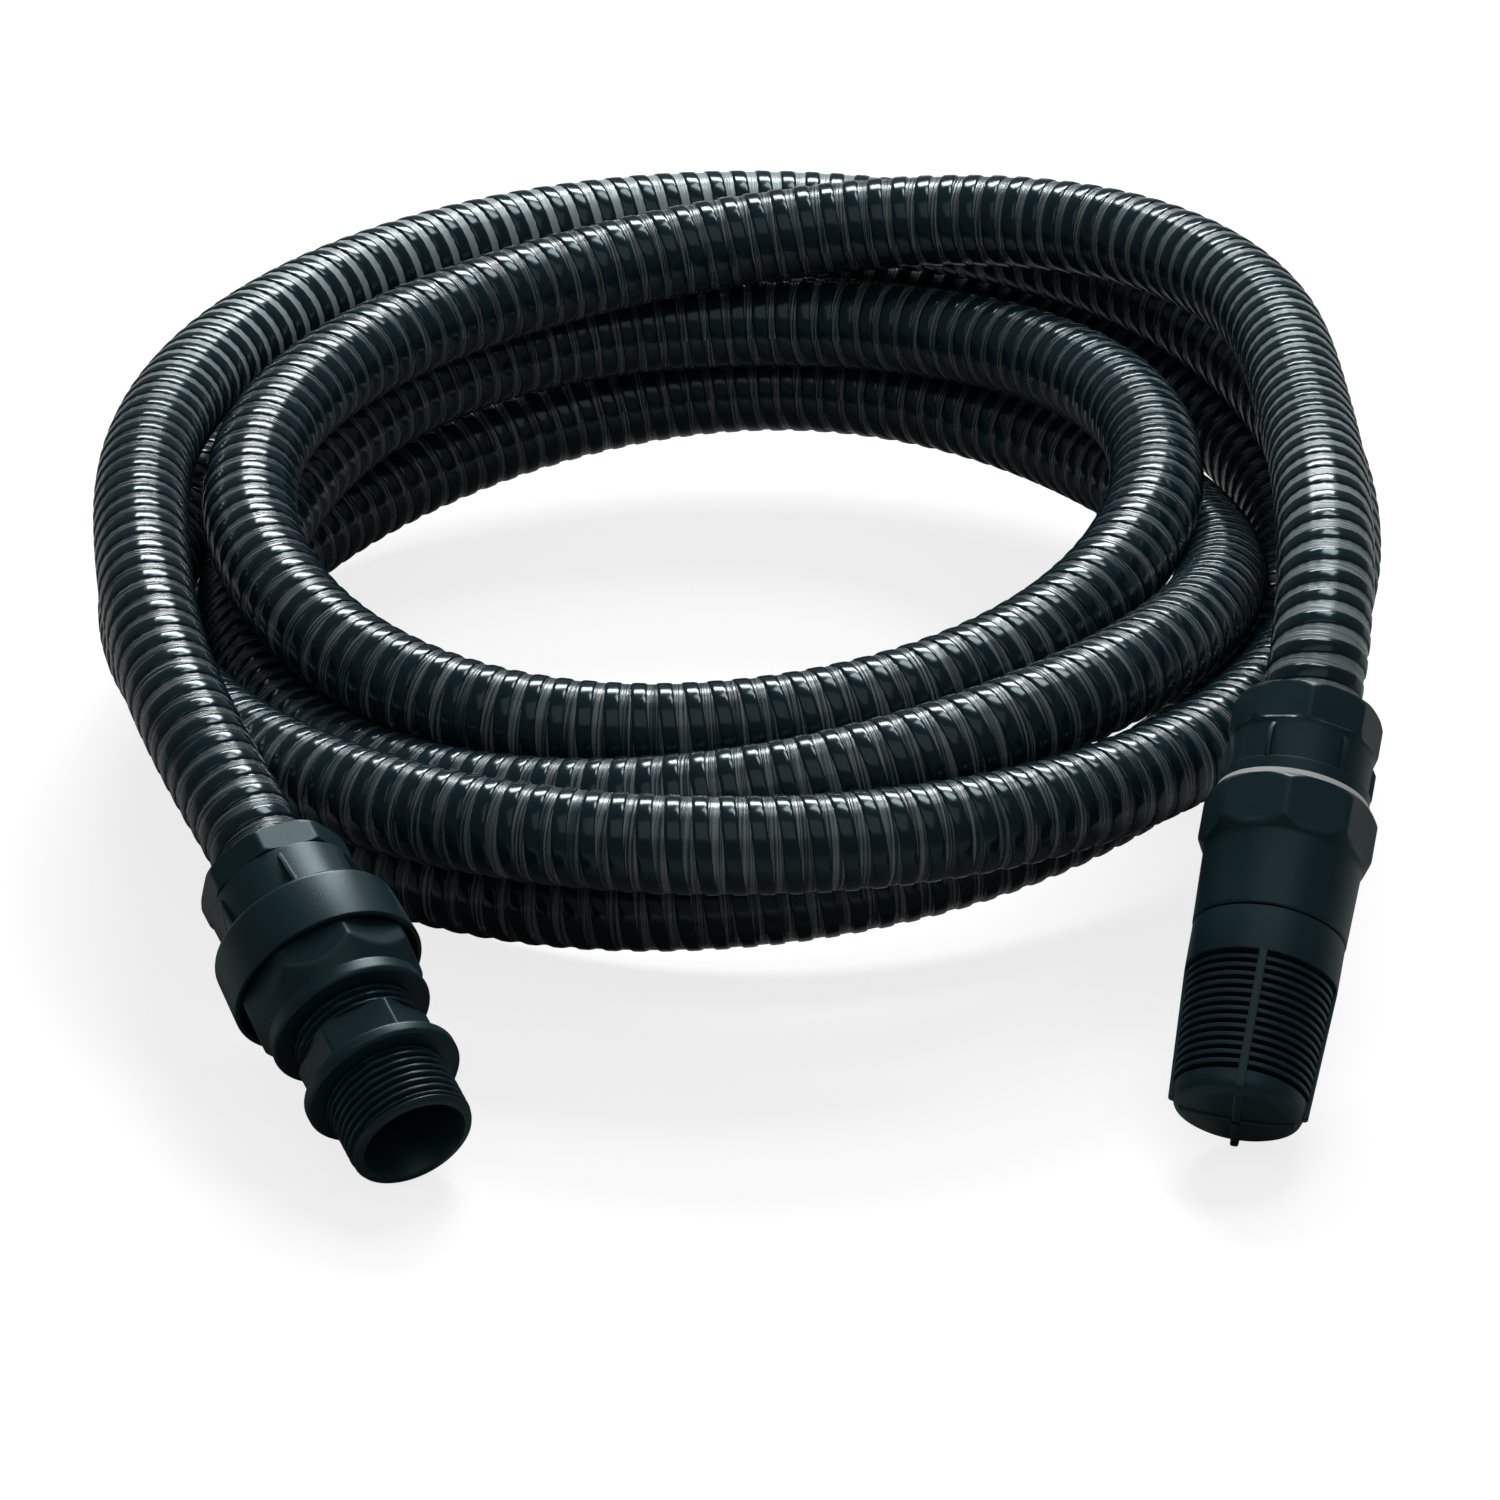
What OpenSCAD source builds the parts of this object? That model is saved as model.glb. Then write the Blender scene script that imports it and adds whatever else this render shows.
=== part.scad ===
// Coiled spiral hose with a threaded pump connector and a foot valve strainer.
// Millimetres. +Z is up, the floor is z = 0 and the origin lies midway between the two fittings.
// Both fittings are built on their own axis: z = 0 where the hose enters, +z towards the open end,
// +x on the upper side. at_pump() and at_foot() then lay them down beside the coil.

/* [Hose] */
// Outside diameter of the hose
hose_od = 26; // [25:0.5:27]
// Bore of the hose
hose_bore = 20; // [19:0.5:21]
// Clearance round the hose where it passes through a piece
hose_gap = 0.4; // [0.3:0.1:0.6]
// Clearance between a spigot and the bore that it fills
spigot_gap = 0.7; // [0.5:0.1:1]
// Wall of the spigots inside the hose
spigot_wall = 1.5; // [1:0.1:2]

/* [Coil] */
// Radius of the hole in the middle of the coil
coil_hole_r = 102; // [95:1:110]
// Outer radius of the coil
coil_r = 182; // [175:1:190]
// Height of the coil
coil_h = 106; // [100:1:110]
// Rounding of the coil's upper edges
coil_round = 30; // [20:1:35]
// Middle of the coil, from the origin along X
coil_x = -6; // [-15:1:5]
// Room between the coil and the middle of the hose where it enters the foot valve
coil_room = 21.6; // [21:0.1:24]

/* [Pump connector: clamp nut] */
// Corner radius of the clamp nut's octagon
pump_nut_r = 20.5; // [19.5:0.1:21.5]
// Length of the octagon
pump_nut_len = 7.5; // [6:0.5:9]
// Wall of the threaded stem
pump_stem_wall = 3; // [2.6:0.1:3.4]
// Length of the stem
pump_stem_len = 8; // [7.5:0.5:9]

/* [Pump connector: body] */
// Wall of the neck that takes the nut's stem
neck_wall = 3.4; // [3:0.1:3.8]
// Visible length of the neck
neck_len = 14.7; // [13:0.1:16]
// Number of gusset ribs between the neck and the collar
gussets = 6; // [4:1:8]
// Thickness of a gusset rib
gusset_w = 1.2; // [1:0.1:2]
// Length of the rubber sleeve that seals the hose
sleeve_len = 5; // [4:0.5:6]
// Collar radius behind its shoulder
collar_rear_r = 25.3; // [24.6:0.1:25.6]
// Collar radius at its lip
collar_lip_r = 26; // [25.6:0.1:27]
// Collar length
collar_len = 16.3; // [15:0.1:18]
// Wall of the cup at the collar's lip
cup_wall = 1.3; // [1.2:0.1:1.6]
// Depth of the cup
cup_depth = 5; // [4:0.5:6]

/* [Pump connector: octagon adapter] */
// Corner radius of the adapter's octagon
adapter_nut_r = 24.4; // [23.6:0.1:24.4]
// Length of the adapter's octagon
adapter_nut_len = 16; // [15:0.5:17]
// Radius of the adapter's front lip
adapter_lip_r = 21.8; // [20.5:0.1:22]
// Length of the front lip
adapter_lip_len = 4.5; // [3:0.5:6]
// Radius of the waterway through the adapter and the nipple
water_r = 13; // [11:0.5:13.5]
// Thickness of a flat gasket
gasket_t = 1.4; // [1:0.1:2]

/* [Pump connector: thread nipple] */
// Outer radius of the pipe thread, one inch nominal
thread_r = 16.62; // [16.62:0.01:16.7]
// Length of rear thread that stays in view
thread_view = 6; // [4:0.5:8]
// Length of rear thread inside the adapter
thread_in = 10.2; // [8:0.1:10.5]
// Corner radius of the neck's hexagon
neck_hex_r = 18.1; // [17.5:0.1:19]
// Length of the neck's hexagon
neck_hex_len = 11; // [9:0.5:13]
// Radius of the flange
flange_r = 21; // [20:0.1:22]
// Thickness of the flange
flange_t = 4; // [3:0.5:5]
// Length of the pump thread
pump_thread_len = 17.5; // [16:0.5:20]
// Length of the plain end
plain_len = 1.5; // [1:0.5:3]
// Depth of the chamfer on the plain end
plain_cut = 0.8; // [0.5:0.1:1.2]

/* [Foot valve: clamp nut] */
// Corner radius of the clamp nut's octagon
foot_nut_r = 19.8; // [19.6:0.1:21]
// Length of the octagon
foot_oct_len = 12; // [11:0.5:13]
// Outer radius of the skirt
skirt_r = 19.6; // [19.4:0.1:21]
// Wall of the skirt
skirt_wall = 2.3; // [2:0.1:2.6]
// Length of the whole nut
foot_nut_len = 26; // [25:0.5:28]
// Length of the thicker band at the front of the skirt
skirt_band = 3.5; // [3:0.5:5]
// Height of the step from the skirt up to that band
skirt_step = 0.8; // [0.4:0.1:1]
// Number of ribs on the skirt
skirt_ribs = 6; // [3:1:8]
// Thickness of the washer in front of the nut
washer_t = 1.4; // [1:0.1:2]
// Outer radius of the washer
washer_r = 20.2; // [19.8:0.1:20.6]

/* [Foot valve: body] */
// Corner radius of the body's octagon
body_nut_r = 22.8; // [22:0.1:24]
// Length of the body's octagon
body_nut_len = 16; // [14:0.5:18]
// Barrel radius behind
barrel_rear_r = 20.6; // [20:0.1:21]
// Barrel radius in front
barrel_front_r = 20; // [19.5:0.1:20.5]
// Barrel length
barrel_len = 21; // [19:0.5:24]
// Radius of the spigot that carries the strainer
snap_r = 17.8; // [17.4:0.1:18]
// Length of that spigot
snap_len = 10.5; // [9:0.5:12]
// Radius of the valve chamber
chamber_r = 14; // [13.5:0.1:14.5]
// Depth of the wall behind the chamber
chamber_wall = 4; // [3:0.5:5]

/* [Foot valve: check valve] */
// Radius of the valve disc
disc_r = 11; // [10.5:0.1:12]
// Thickness of the valve disc
disc_t = 2.5; // [2:0.5:3]
// Radius of the valve stem
stem_r = 2; // [1.5:0.1:2.5]
// Thickness of the rubber facing
facing_t = 2; // [1.5:0.1:2.5]
// Radius of the hole in the seat
seat_hole_r = 8.5; // [8:0.1:9]
// Length of the seat ring
seat_len = 10; // [8:0.5:12]
// Lift of the valve
valve_lift = 6; // [4:0.5:8]
// Number of arms on the stem guide
guide_arms = 3; // [3:1:5]
// Thickness of the stem guide
guide_t = 4; // [3:0.5:5]
// Turns of the valve spring
spring_turns = 5; // [4:1:7]
// Wire radius of the spring
spring_wire_r = 0.5; // [0.4:0.1:0.7]
// Radius of the spring at the middle of its wire
spring_r = 5.4; // [5:0.1:6]

/* [Foot valve: strainer] */
// Outer radius of the strainer's collar
strainer_r = 19.8; // [19.6:0.1:20.4]
// Length of the strainer's collar
strainer_collar_len = 12.5; // [12:0.5:14]
// Number of strainer rings
rings = 13; // [10:1:14]
// Distance from one ring to the next
ring_pitch = 2.4; // [2.2:0.1:2.6]
// Thickness of a ring
ring_t = 1.2; // [1:0.1:1.4]
// Radial width of a ring
ring_w = 2.4; // [2:0.1:3]
// Depth of the rings behind the fins' edge
ring_inset = 0.8; // [0.5:0.1:1.2]
// Thickness of a fin
fin_w = 2.6; // [2:0.1:3]
// Outer radius of the fins at the end
fin_end_r = 18; // [17:0.1:18.6]
// Length of the end cap
cap_len = 5.5; // [4:0.5:7]
// Radius of the end cap
cap_r = 17.2; // [16.5:0.1:17.5]
// Radius of the face of the end cap
cap_face_r = 15.6; // [14:0.1:16]
// Height of the face of the end cap
cap_face_h = 2.4; // [1:0.1:3]

/* [Fits] */
// Radial clearance between threads, and where one piece slides in another
running = 0.06; // [0.04:0.01:0.09]
// Gap between faces that bear on each other
seat_gap = 0.3; // [0.3:0.05:0.4]
// Radial clearance of loose seals and rings
loose = 0.3; // [0.3:0.05:0.4]

/* [Hidden] */
$fn = 96;

// Lay of the fittings: point on the floor side of each open end, slope down, heading
pump_end = [-95, -55];
pump_dip = 21.3;
pump_heading = -63.8;
foot_end = [113.5, -40];
foot_dip = 35.5;
foot_heading = -103;
// Turn of the flats and ribs about each axis, from the upper side
pump_nut_turn = 22;
adapter_turn = 0;
neck_turn = -11;
foot_nut_turn = -9;
body_nut_turn = -4.5;
gusset_turn = 13;
skirt_rib_turn = 18;
fin_turn = -7;

// Hose
hose_r = hose_od / 2;
bore_r = hose_bore / 2;
hose_hole_r = hose_r + hose_gap;
spigot_r = bore_r - spigot_gap;
spigot_bore_r = spigot_r - spigot_wall;
spigot_lead = 3;

// Pump connector, from the hose end forwards
stem_out_r = hose_hole_r + pump_stem_wall;
neck_bore_r = stem_out_r + running;
neck_r = neck_bore_r + neck_wall;
neck_z = pump_nut_len + seat_gap;
collar_z = neck_z + neck_len;
stem_end_z = pump_nut_len + pump_stem_len;
grip_washer_t = 2;
sleeve_z = stem_end_z + 2 * seat_gap + grip_washer_t;
hose_stop_z = sleeve_z + sleeve_len + seat_gap;
stop_wall = 2.5;
socket_z = hose_stop_z + stop_wall;
collar_end_z = collar_z + collar_len;
cup_z = collar_end_z - cup_depth;
cup_r = collar_lip_r - cup_wall;
collar_shoulder = 1.5;
adapter_spigot_r = thread_r;
gasket_z = socket_z + seat_gap;
adapter_z = gasket_z + gasket_t + seat_gap;
adapter_nut_z = cup_z + seat_gap;
adapter_lip_z = adapter_nut_z + adapter_nut_len;
adapter_end_z = adapter_lip_z + adapter_lip_len;
nipple_z = adapter_end_z - thread_in;
nipple_seal_z = nipple_z - seat_gap - gasket_t;
adapter_bore_z = nipple_seal_z - seat_gap;
neck_hex_z = adapter_end_z + thread_view;
flange_z = neck_hex_z + neck_hex_len;
pump_thread_z = flange_z + flange_t;
plain_z = pump_thread_z + pump_thread_len;
mouth_z = plain_z + plain_len;

// Foot valve, from the hose end forwards
skirt_bore_r = skirt_r - skirt_wall;
foot_thread_r = skirt_bore_r - running;
foot_thread_z = 12;
pocket_wall = 1.7;
pocket_r = foot_thread_r - pocket_wall;
pocket_len = 8;
nut_wall = 3;
hose_hold_len = 9;
foot_stop_z = foot_thread_z + pocket_len + hose_hold_len;
washer_z = foot_nut_len + seat_gap;
body_nut_z = washer_z + washer_t + seat_gap;
barrel_z = body_nut_z + body_nut_len;
snap_z = barrel_z + barrel_len;
chamber_z = body_nut_z + chamber_wall;
chamber_end_z = snap_z + snap_len;
guide_z = chamber_z + seat_gap;
guide_rim = 1.8;
guide_hub_r = 3.6;
guide_arm_w = 2.4;
seat_face_z = chamber_end_z - seat_len - 1;
facing_z = seat_face_z - seat_gap - facing_t;
disc_z = facing_z - seat_gap - disc_t;
spring_z = guide_z + guide_t + seat_gap;
spring_end_z = disc_z - seat_gap;
strainer_z = snap_z + seat_gap;
rings_z = strainer_z + strainer_collar_len;
cap_z = rings_z + rings * ring_pitch + ring_pitch - ring_t;
cap_end_z = cap_z + cap_len;

// Middle of the coil along Y: it stands clear of the foot valve, whatever its radius
foot_start = foot_axis(0);
function coil_middle_y(r) =
    foot_start[1] + sqrt(pow(r + coil_room, 2) - pow(foot_start[0] - coil_x, 2));
coil_y = coil_middle_y(coil_r);

// Route of each hose lead, from the hose end in its fitting to the coil, and the coil it was drawn to
drawn_coil = [-6, 182];
pump_lead = [
    [-146, 49, 59], [-154, 66, 64], [-162, 88, 69], [-169, 115, 74], [-173, 150, 78],
    [-174, 192, 80], [-168, 234, 80]
];
foot_lead = [
    [140, 78, 98], [141, 95, 104], [141, 116, 108], [141, 138, 108.5], [140, 162, 107],
    [139, 186, 105], [137, 212, 104], [132, 240, 104]
];
lead_sides = 12;

module at_pump() {
    translate([pump_end[0], pump_end[1], thread_r * cos(pump_dip)])
        rotate([0, 90 + pump_dip, pump_heading])
            translate([0, 0, -mouth_z])
                rotate([0, 0, 180])
                    children();
}

module at_foot() {
    translate([foot_end[0], foot_end[1], fin_end_r * cos(foot_dip)])
        rotate([0, 90 + foot_dip, foot_heading])
            translate([0, 0, -cap_end_z])
                rotate([0, 0, 180])
                    children();
}

// Point of a fitting's axis at height z, in the part's frame
function on_axis(end, r, dip, heading, length, z) =
    [end[0], end[1], r * cos(dip)]
    + (z - length) * [cos(dip) * cos(heading), cos(dip) * sin(heading), -sin(dip)];
function pump_axis(z) = on_axis(pump_end, thread_r, pump_dip, pump_heading, mouth_z, z);
function foot_axis(z) = on_axis(foot_end, fin_end_r, foot_dip, foot_heading, cap_end_z, z);

// The lead's points, which move with the coil, the last ones most
function coil_place(p) =
    let (k = coil_r / drawn_coil[1])
    [coil_x + (p[0] - drawn_coil[0]) * k, coil_y + (p[1] - coil_middle_y(drawn_coil[1])) * k, p[2]];
function to_coil(lead) =
    [for (i = [0 : len(lead) - 1]) lead[i] + (coil_place(lead[i]) - lead[i]) * (i + 1) / len(lead)];

// A tube swept along points: a ring of corners round each, square to the path
function unit(v) = v / norm(v);
function heading_at(p, i) =
    unit(p[min(i + 1, len(p) - 1)] - p[max(i - 1, 0)]);
function across(d) = unit(cross(d, [0, 0, 1]));
function ring_at(p, i, r) =
    let (d = heading_at(p, i), u = across(d), v = cross(u, d))
    [for (k = [0 : lead_sides - 1]) p[i] + r * (u * cos(360 * k / lead_sides) + v * sin(360 * k / lead_sides))];
function flat_list(a) = [for (row = a) for (v = row) v];

module swept_tube(path, r_out, r_in) {
    n = len(path);
    m = lead_sides;
    outer = flat_list([for (i = [0 : n - 1]) ring_at(path, i, r_out)]);
    inner = flat_list([for (i = [0 : n - 1]) ring_at(path, i, r_in)]);
    inside = n * m;
    last = (n - 1) * m;
    walls = flat_list([for (i = [0 : n - 2]) [for (k = [0 : m - 1])
        let (j = (k + 1) % m, a = i * m)
        [a + k, a + m + k, a + m + j, a + j]]]);
    linings = flat_list([for (i = [0 : n - 2]) [for (k = [0 : m - 1])
        let (j = (k + 1) % m, a = inside + i * m)
        [a + k, a + j, a + m + j, a + m + k]]]);
    near_end = [for (k = [0 : m - 1]) let (j = (k + 1) % m) [k, j, inside + j, inside + k]];
    far_end = [for (k = [0 : m - 1]) let (j = (k + 1) % m)
        [last + k, inside + last + k, inside + last + j, last + j]];
    polyhedron(concat(outer, inner), concat(walls, linings, near_end, far_end));
}

// A ring of rectangular section
module ring(r_out, r_in, h) {
    difference() {
        cylinder(r = r_out, h = h);
        translate([0, 0, -1]) cylinder(r = r_in, h = h + 2);
    }
}

// Flats whose corners are turned off in a cone at each end
module turned_flats(corner_r, h, rear_r, rear_len, front_r, front_len, flats = 8) {
    intersection() {
        cylinder(r = corner_r, h = h, $fn = flats);
        rotate_extrude()
            polygon([[0, 0], [rear_r, 0], [corner_r, rear_len], [corner_r, h - front_len], [front_r, h], [0, h]]);
    }
}

// ---- Hose ----

module hose_coil() {
    color("dimgray")
        translate([coil_x, coil_y, 0])
            rotate_extrude()
                union() {
                    translate([coil_hole_r, 0])
                        square([coil_r - coil_hole_r, coil_h - coil_round]);
                    translate([coil_hole_r + coil_round, 0])
                        square([coil_r - coil_hole_r - 2 * coil_round, coil_h]);
                    for (x = [coil_hole_r + coil_round, coil_r - coil_round])
                        translate([x, coil_h - coil_round]) circle(coil_round);
                }
}

module hose_lead_pump() {
    path = concat(
        [pump_axis(hose_stop_z - seat_gap), pump_axis(0), pump_axis(-10)],
        to_coil(pump_lead)
    );
    color("dimgray") swept_tube(path, hose_r, bore_r);
}

module hose_lead_foot() {
    path = concat(
        [foot_axis(foot_stop_z - seat_gap), foot_axis(0), foot_axis(-10)],
        to_coil(foot_lead)
    );
    color("dimgray") swept_tube(path, hose_r, bore_r);
}

// ---- Pump connector ----

module pump_clamp_nut() {
    color("darkslategray") at_pump() difference() {
        union() {
            rotate([0, 0, pump_nut_turn])
                turned_flats(pump_nut_r, pump_nut_len, pump_nut_r - 0.9, 1.4, pump_nut_r - 0.6, 0.8);
            cylinder(r = stem_out_r, h = stem_end_z);
        }
        translate([0, 0, -1]) cylinder(r = hose_hole_r, h = stem_end_z + 2);
    }
}

module pump_grip_washer() {
    color("whitesmoke") at_pump()
        translate([0, 0, stem_end_z + seat_gap])
            ring(neck_bore_r - loose, hose_r + loose, grip_washer_t);
}

module pump_hose_seal() {
    color("black") at_pump()
        translate([0, 0, sleeve_z])
            ring(neck_bore_r - loose, hose_r + loose, sleeve_len);
}

module gusset() {
    rise = collar_rear_r - neck_r - 1.8;
    start_z = neck_z + 2.2;
    rotate([90, 0, 0])
        translate([0, 0, -gusset_w / 2])
            linear_extrude(gusset_w)
                polygon([
                    [neck_r - 0.8, start_z], [neck_r + 0.4, start_z],
                    [neck_r + rise, collar_z + 0.8], [neck_r - 0.8, collar_z + 0.8]
                ]);
}

module pump_body() {
    color("darkslategray") at_pump() difference() {
        union() {
            rotate_extrude()
                polygon([
                    [0, neck_z], [neck_r - 0.5, neck_z], [neck_r, neck_z + 0.5], [neck_r, collar_z],
                    [collar_rear_r - 1.2, collar_z],
                    [collar_rear_r - 0.35, collar_z + collar_shoulder * 0.3],
                    [collar_rear_r, collar_z + collar_shoulder],
                    [collar_lip_r, collar_end_z - 1], [collar_lip_r - 0.5, collar_end_z],
                    [0, collar_end_z]
                ]);
            for (k = [0 : gussets - 1])
                rotate([0, 0, gusset_turn + k * 360 / gussets]) gusset();
        }
        translate([0, 0, neck_z - 1]) cylinder(r = neck_bore_r, h = sleeve_z + sleeve_len - neck_z + 1);
        translate([0, 0, neck_z]) cylinder(r = hose_hole_r, h = hose_stop_z - neck_z);
        translate([0, 0, neck_z]) cylinder(r = spigot_bore_r, h = collar_end_z);
        translate([0, 0, socket_z]) cylinder(r = adapter_spigot_r + running, h = collar_len);
        translate([0, 0, cup_z]) cylinder(r = cup_r, h = cup_depth + 1);
    }
    color("darkslategray") at_pump()
        translate([0, 0, spigot_lead]) ring(spigot_r, spigot_bore_r, hose_stop_z - spigot_lead);
}

module adapter_gasket() {
    color("black") at_pump()
        translate([0, 0, gasket_z]) ring(adapter_spigot_r - loose, spigot_bore_r + 1, gasket_t);
}

module screw_adapter() {
    color("darkslategray") at_pump() difference() {
        union() {
            translate([0, 0, adapter_z])
                cylinder(r = adapter_spigot_r, h = adapter_nut_z - adapter_z + 1);
            translate([0, 0, adapter_nut_z]) rotate([0, 0, adapter_turn])
                turned_flats(adapter_nut_r, adapter_nut_len, adapter_nut_r - 3.6, 5, adapter_lip_r - 1, 8);
            rotate_extrude()
                polygon([
                    [0, adapter_lip_z - 4], [adapter_lip_r - 2, adapter_lip_z - 4],
                    [adapter_lip_r, adapter_lip_z], [adapter_lip_r, adapter_end_z - 1],
                    [adapter_lip_r - 0.7, adapter_end_z], [0, adapter_end_z]
                ]);
        }
        translate([0, 0, adapter_z - 1]) cylinder(r = water_r, h = mouth_z);
        translate([0, 0, adapter_bore_z]) cylinder(r = thread_r + running, h = mouth_z);
    }
}

module nipple_seal() {
    color("black") at_pump()
        translate([0, 0, nipple_seal_z]) ring(thread_r - loose, water_r + 0.4, gasket_t);
}

module thread_nipple() {
    color("darkslategray") at_pump() difference() {
        union() {
            translate([0, 0, nipple_z]) cylinder(r = thread_r, h = neck_hex_z - nipple_z + 0.5);
            translate([0, 0, neck_hex_z]) rotate([0, 0, neck_turn])
                turned_flats(neck_hex_r, neck_hex_len + 0.5, neck_hex_r - 0.8, 0.8, neck_hex_r, 0.5, 6);
            translate([0, 0, flange_z]) cylinder(r1 = flange_r - 0.6, r2 = flange_r, h = 0.8);
            translate([0, 0, flange_z + 0.8]) cylinder(r = flange_r, h = flange_t - 0.8);
            translate([0, 0, flange_z]) cylinder(r = thread_r, h = plain_z - flange_z);
            translate([0, 0, plain_z])
                cylinder(r1 = thread_r, r2 = thread_r - plain_cut, h = plain_len);
        }
        translate([0, 0, nipple_z - 1]) cylinder(r = water_r, h = mouth_z);
    }
}

// ---- Foot valve ----

module skirt_rib() {
    foot_r = skirt_r - skirt_step - 0.6;
    band_z = foot_nut_len - skirt_band;
    rotate([90, 0, 0])
        translate([0, 0, -0.7])
            linear_extrude(1.4)
                polygon([
                    [foot_r, foot_oct_len - 0.5], [skirt_r + 0.3, foot_oct_len + 2.5],
                    [skirt_r + 0.3, band_z - 1], [skirt_r - 0.3, band_z + 0.6], [foot_r, band_z + 0.6]
                ]);
}

module foot_clamp_nut() {
    color("darkslategray") at_foot() difference() {
        union() {
            rotate([0, 0, foot_nut_turn])
                turned_flats(foot_nut_r, foot_oct_len, foot_nut_r - 1.2, 2, foot_nut_r - 1, 2.5);
            rotate_extrude()
                polygon([
                    [0, foot_oct_len - 1], [skirt_r - skirt_step, foot_oct_len - 1],
                    [skirt_r - skirt_step, foot_nut_len - skirt_band],
                    [skirt_r, foot_nut_len - skirt_band], [skirt_r, foot_nut_len], [0, foot_nut_len]
                ]);
            for (k = [0 : skirt_ribs - 1])
                rotate([0, 0, skirt_rib_turn + k * 360 / skirt_ribs]) skirt_rib();
        }
        rotate_extrude()
            polygon([
                [0, -1], [hose_hole_r, -1], [hose_hole_r, nut_wall], [hose_hole_r + 1, nut_wall],
                [skirt_bore_r, foot_thread_z], [skirt_bore_r, foot_nut_len + 1], [0, foot_nut_len + 1]
            ]);
    }
}

module foot_grip_ring() {
    color("whitesmoke") at_foot()
        difference() {
            translate([0, 0, nut_wall + seat_gap])
                cylinder(r1 = hose_hole_r + 0.6, r2 = pocket_r + 0.6, h = foot_thread_z - nut_wall - 2 * seat_gap);
            cylinder(r = hose_r + loose, h = foot_thread_z);
            translate([hose_r - 2, -0.8, 0]) cube([6, 1.6, foot_thread_z]);
        }
}

module foot_hose_seal() {
    color("black") at_foot()
        translate([0, 0, foot_thread_z + seat_gap])
            ring(pocket_r - loose, hose_r + loose, pocket_len - 2 * seat_gap);
}

module foot_washer() {
    color("white") at_foot()
        translate([0, 0, washer_z]) ring(washer_r, foot_thread_r + loose, washer_t);
}

module valve_body() {
    color("darkslategray") at_foot() {
        difference() {
            union() {
                translate([0, 0, foot_thread_z]) cylinder(r = foot_thread_r, h = body_nut_z - foot_thread_z + 1);
                translate([0, 0, body_nut_z]) rotate([0, 0, body_nut_turn])
                    turned_flats(body_nut_r, body_nut_len, body_nut_r - 1.6, 2, body_nut_r - 2.4, 4);
                translate([0, 0, body_nut_z + 2])
                    cylinder(r1 = body_nut_r - 3, r2 = barrel_rear_r, h = body_nut_len - 3);
                translate([0, 0, barrel_z - 1.01])
                    cylinder(r1 = barrel_rear_r, r2 = barrel_front_r, h = barrel_len + 1.01);
                translate([0, 0, snap_z]) cylinder(r = snap_r, h = snap_len);
            }
            translate([0, 0, foot_thread_z - 1]) cylinder(r = pocket_r, h = pocket_len + 1);
            translate([0, 0, foot_thread_z]) cylinder(r = hose_hole_r, h = foot_stop_z - foot_thread_z);
            translate([0, 0, foot_thread_z]) cylinder(r = spigot_bore_r, h = snap_z);
            translate([0, 0, chamber_z]) cylinder(r = chamber_r, h = chamber_end_z);
        }
        translate([0, 0, spigot_lead]) ring(spigot_r, spigot_bore_r, foot_stop_z - spigot_lead);
    }
}

module valve_guide() {
    color("gray") at_foot() translate([0, 0, guide_z]) difference() {
        union() {
            ring(chamber_r - running, chamber_r - guide_rim, guide_t);
            cylinder(r = guide_hub_r, h = guide_t);
            for (k = [0 : guide_arms - 1])
                rotate([0, 0, k * 360 / guide_arms])
                    translate([0, -guide_arm_w / 2, 0])
                        cube([chamber_r - guide_rim + 0.5, guide_arm_w, guide_t]);
        }
        translate([0, 0, -1]) cylinder(r = stem_r + running, h = guide_t + 2);
    }
}

function coil_point(a) = [
    spring_r * cos(a), spring_r * sin(a),
    spring_z + spring_wire_r + (spring_end_z - spring_z - 2 * spring_wire_r) * a / (360 * spring_turns)
];

module valve_spring() {
    steps = 16 * spring_turns;
    sides = 6;
    path = [for (i = [0 : steps]) coil_point(i * 360 * spring_turns / steps)];
    points = [for (i = [0 : steps]) for (k = [0 : sides - 1])
        let (a = i * 360 * spring_turns / steps, b = k * 360 / sides)
        path[i] + spring_wire_r * (cos(b) * [cos(a), sin(a), 0] + sin(b) * [0, 0, 1])];
    walls = [for (i = [0 : steps - 1]) for (k = [0 : sides - 1])
        let (j = (k + 1) % sides, a = i * sides)
        [a + k, a + sides + k, a + sides + j, a + j]];
    color("silver") at_foot()
        polyhedron(points, concat(
            [[for (k = [0 : sides - 1]) k]], walls,
            [[for (k = [sides - 1 : -1 : 0]) steps * sides + k]]
        ));
}

module valve_poppet() {
    color("gray") at_foot() {
        translate([0, 0, chamber_z]) cylinder(r = stem_r, h = disc_z - chamber_z + 0.5);
        translate([0, 0, disc_z]) cylinder(r = disc_r, h = disc_t);
        translate([0, 0, disc_z]) cylinder(r = seat_hole_r - 2.4, h = disc_t + 2 * seat_gap + facing_t + 1);
    }
}

module poppet_facing() {
    color("black") at_foot()
        translate([0, 0, facing_z]) ring(disc_r, seat_hole_r - 2.4 + seat_gap, facing_t);
}

module valve_seat() {
    color("gray") at_foot() difference() {
        translate([0, 0, seat_face_z]) cylinder(r = chamber_r - running, h = seat_len);
        translate([0, 0, seat_face_z - 1]) cylinder(r = seat_hole_r, h = seat_len + 2);
        translate([0, 0, seat_face_z + 2])
            cylinder(r1 = seat_hole_r, r2 = chamber_r - 1.5, h = seat_len - 1.99);
    }
}

function fin_r(z) = strainer_r + (fin_end_r - strainer_r) * (z - rings_z) / (cap_end_z - rings_z);

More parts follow.
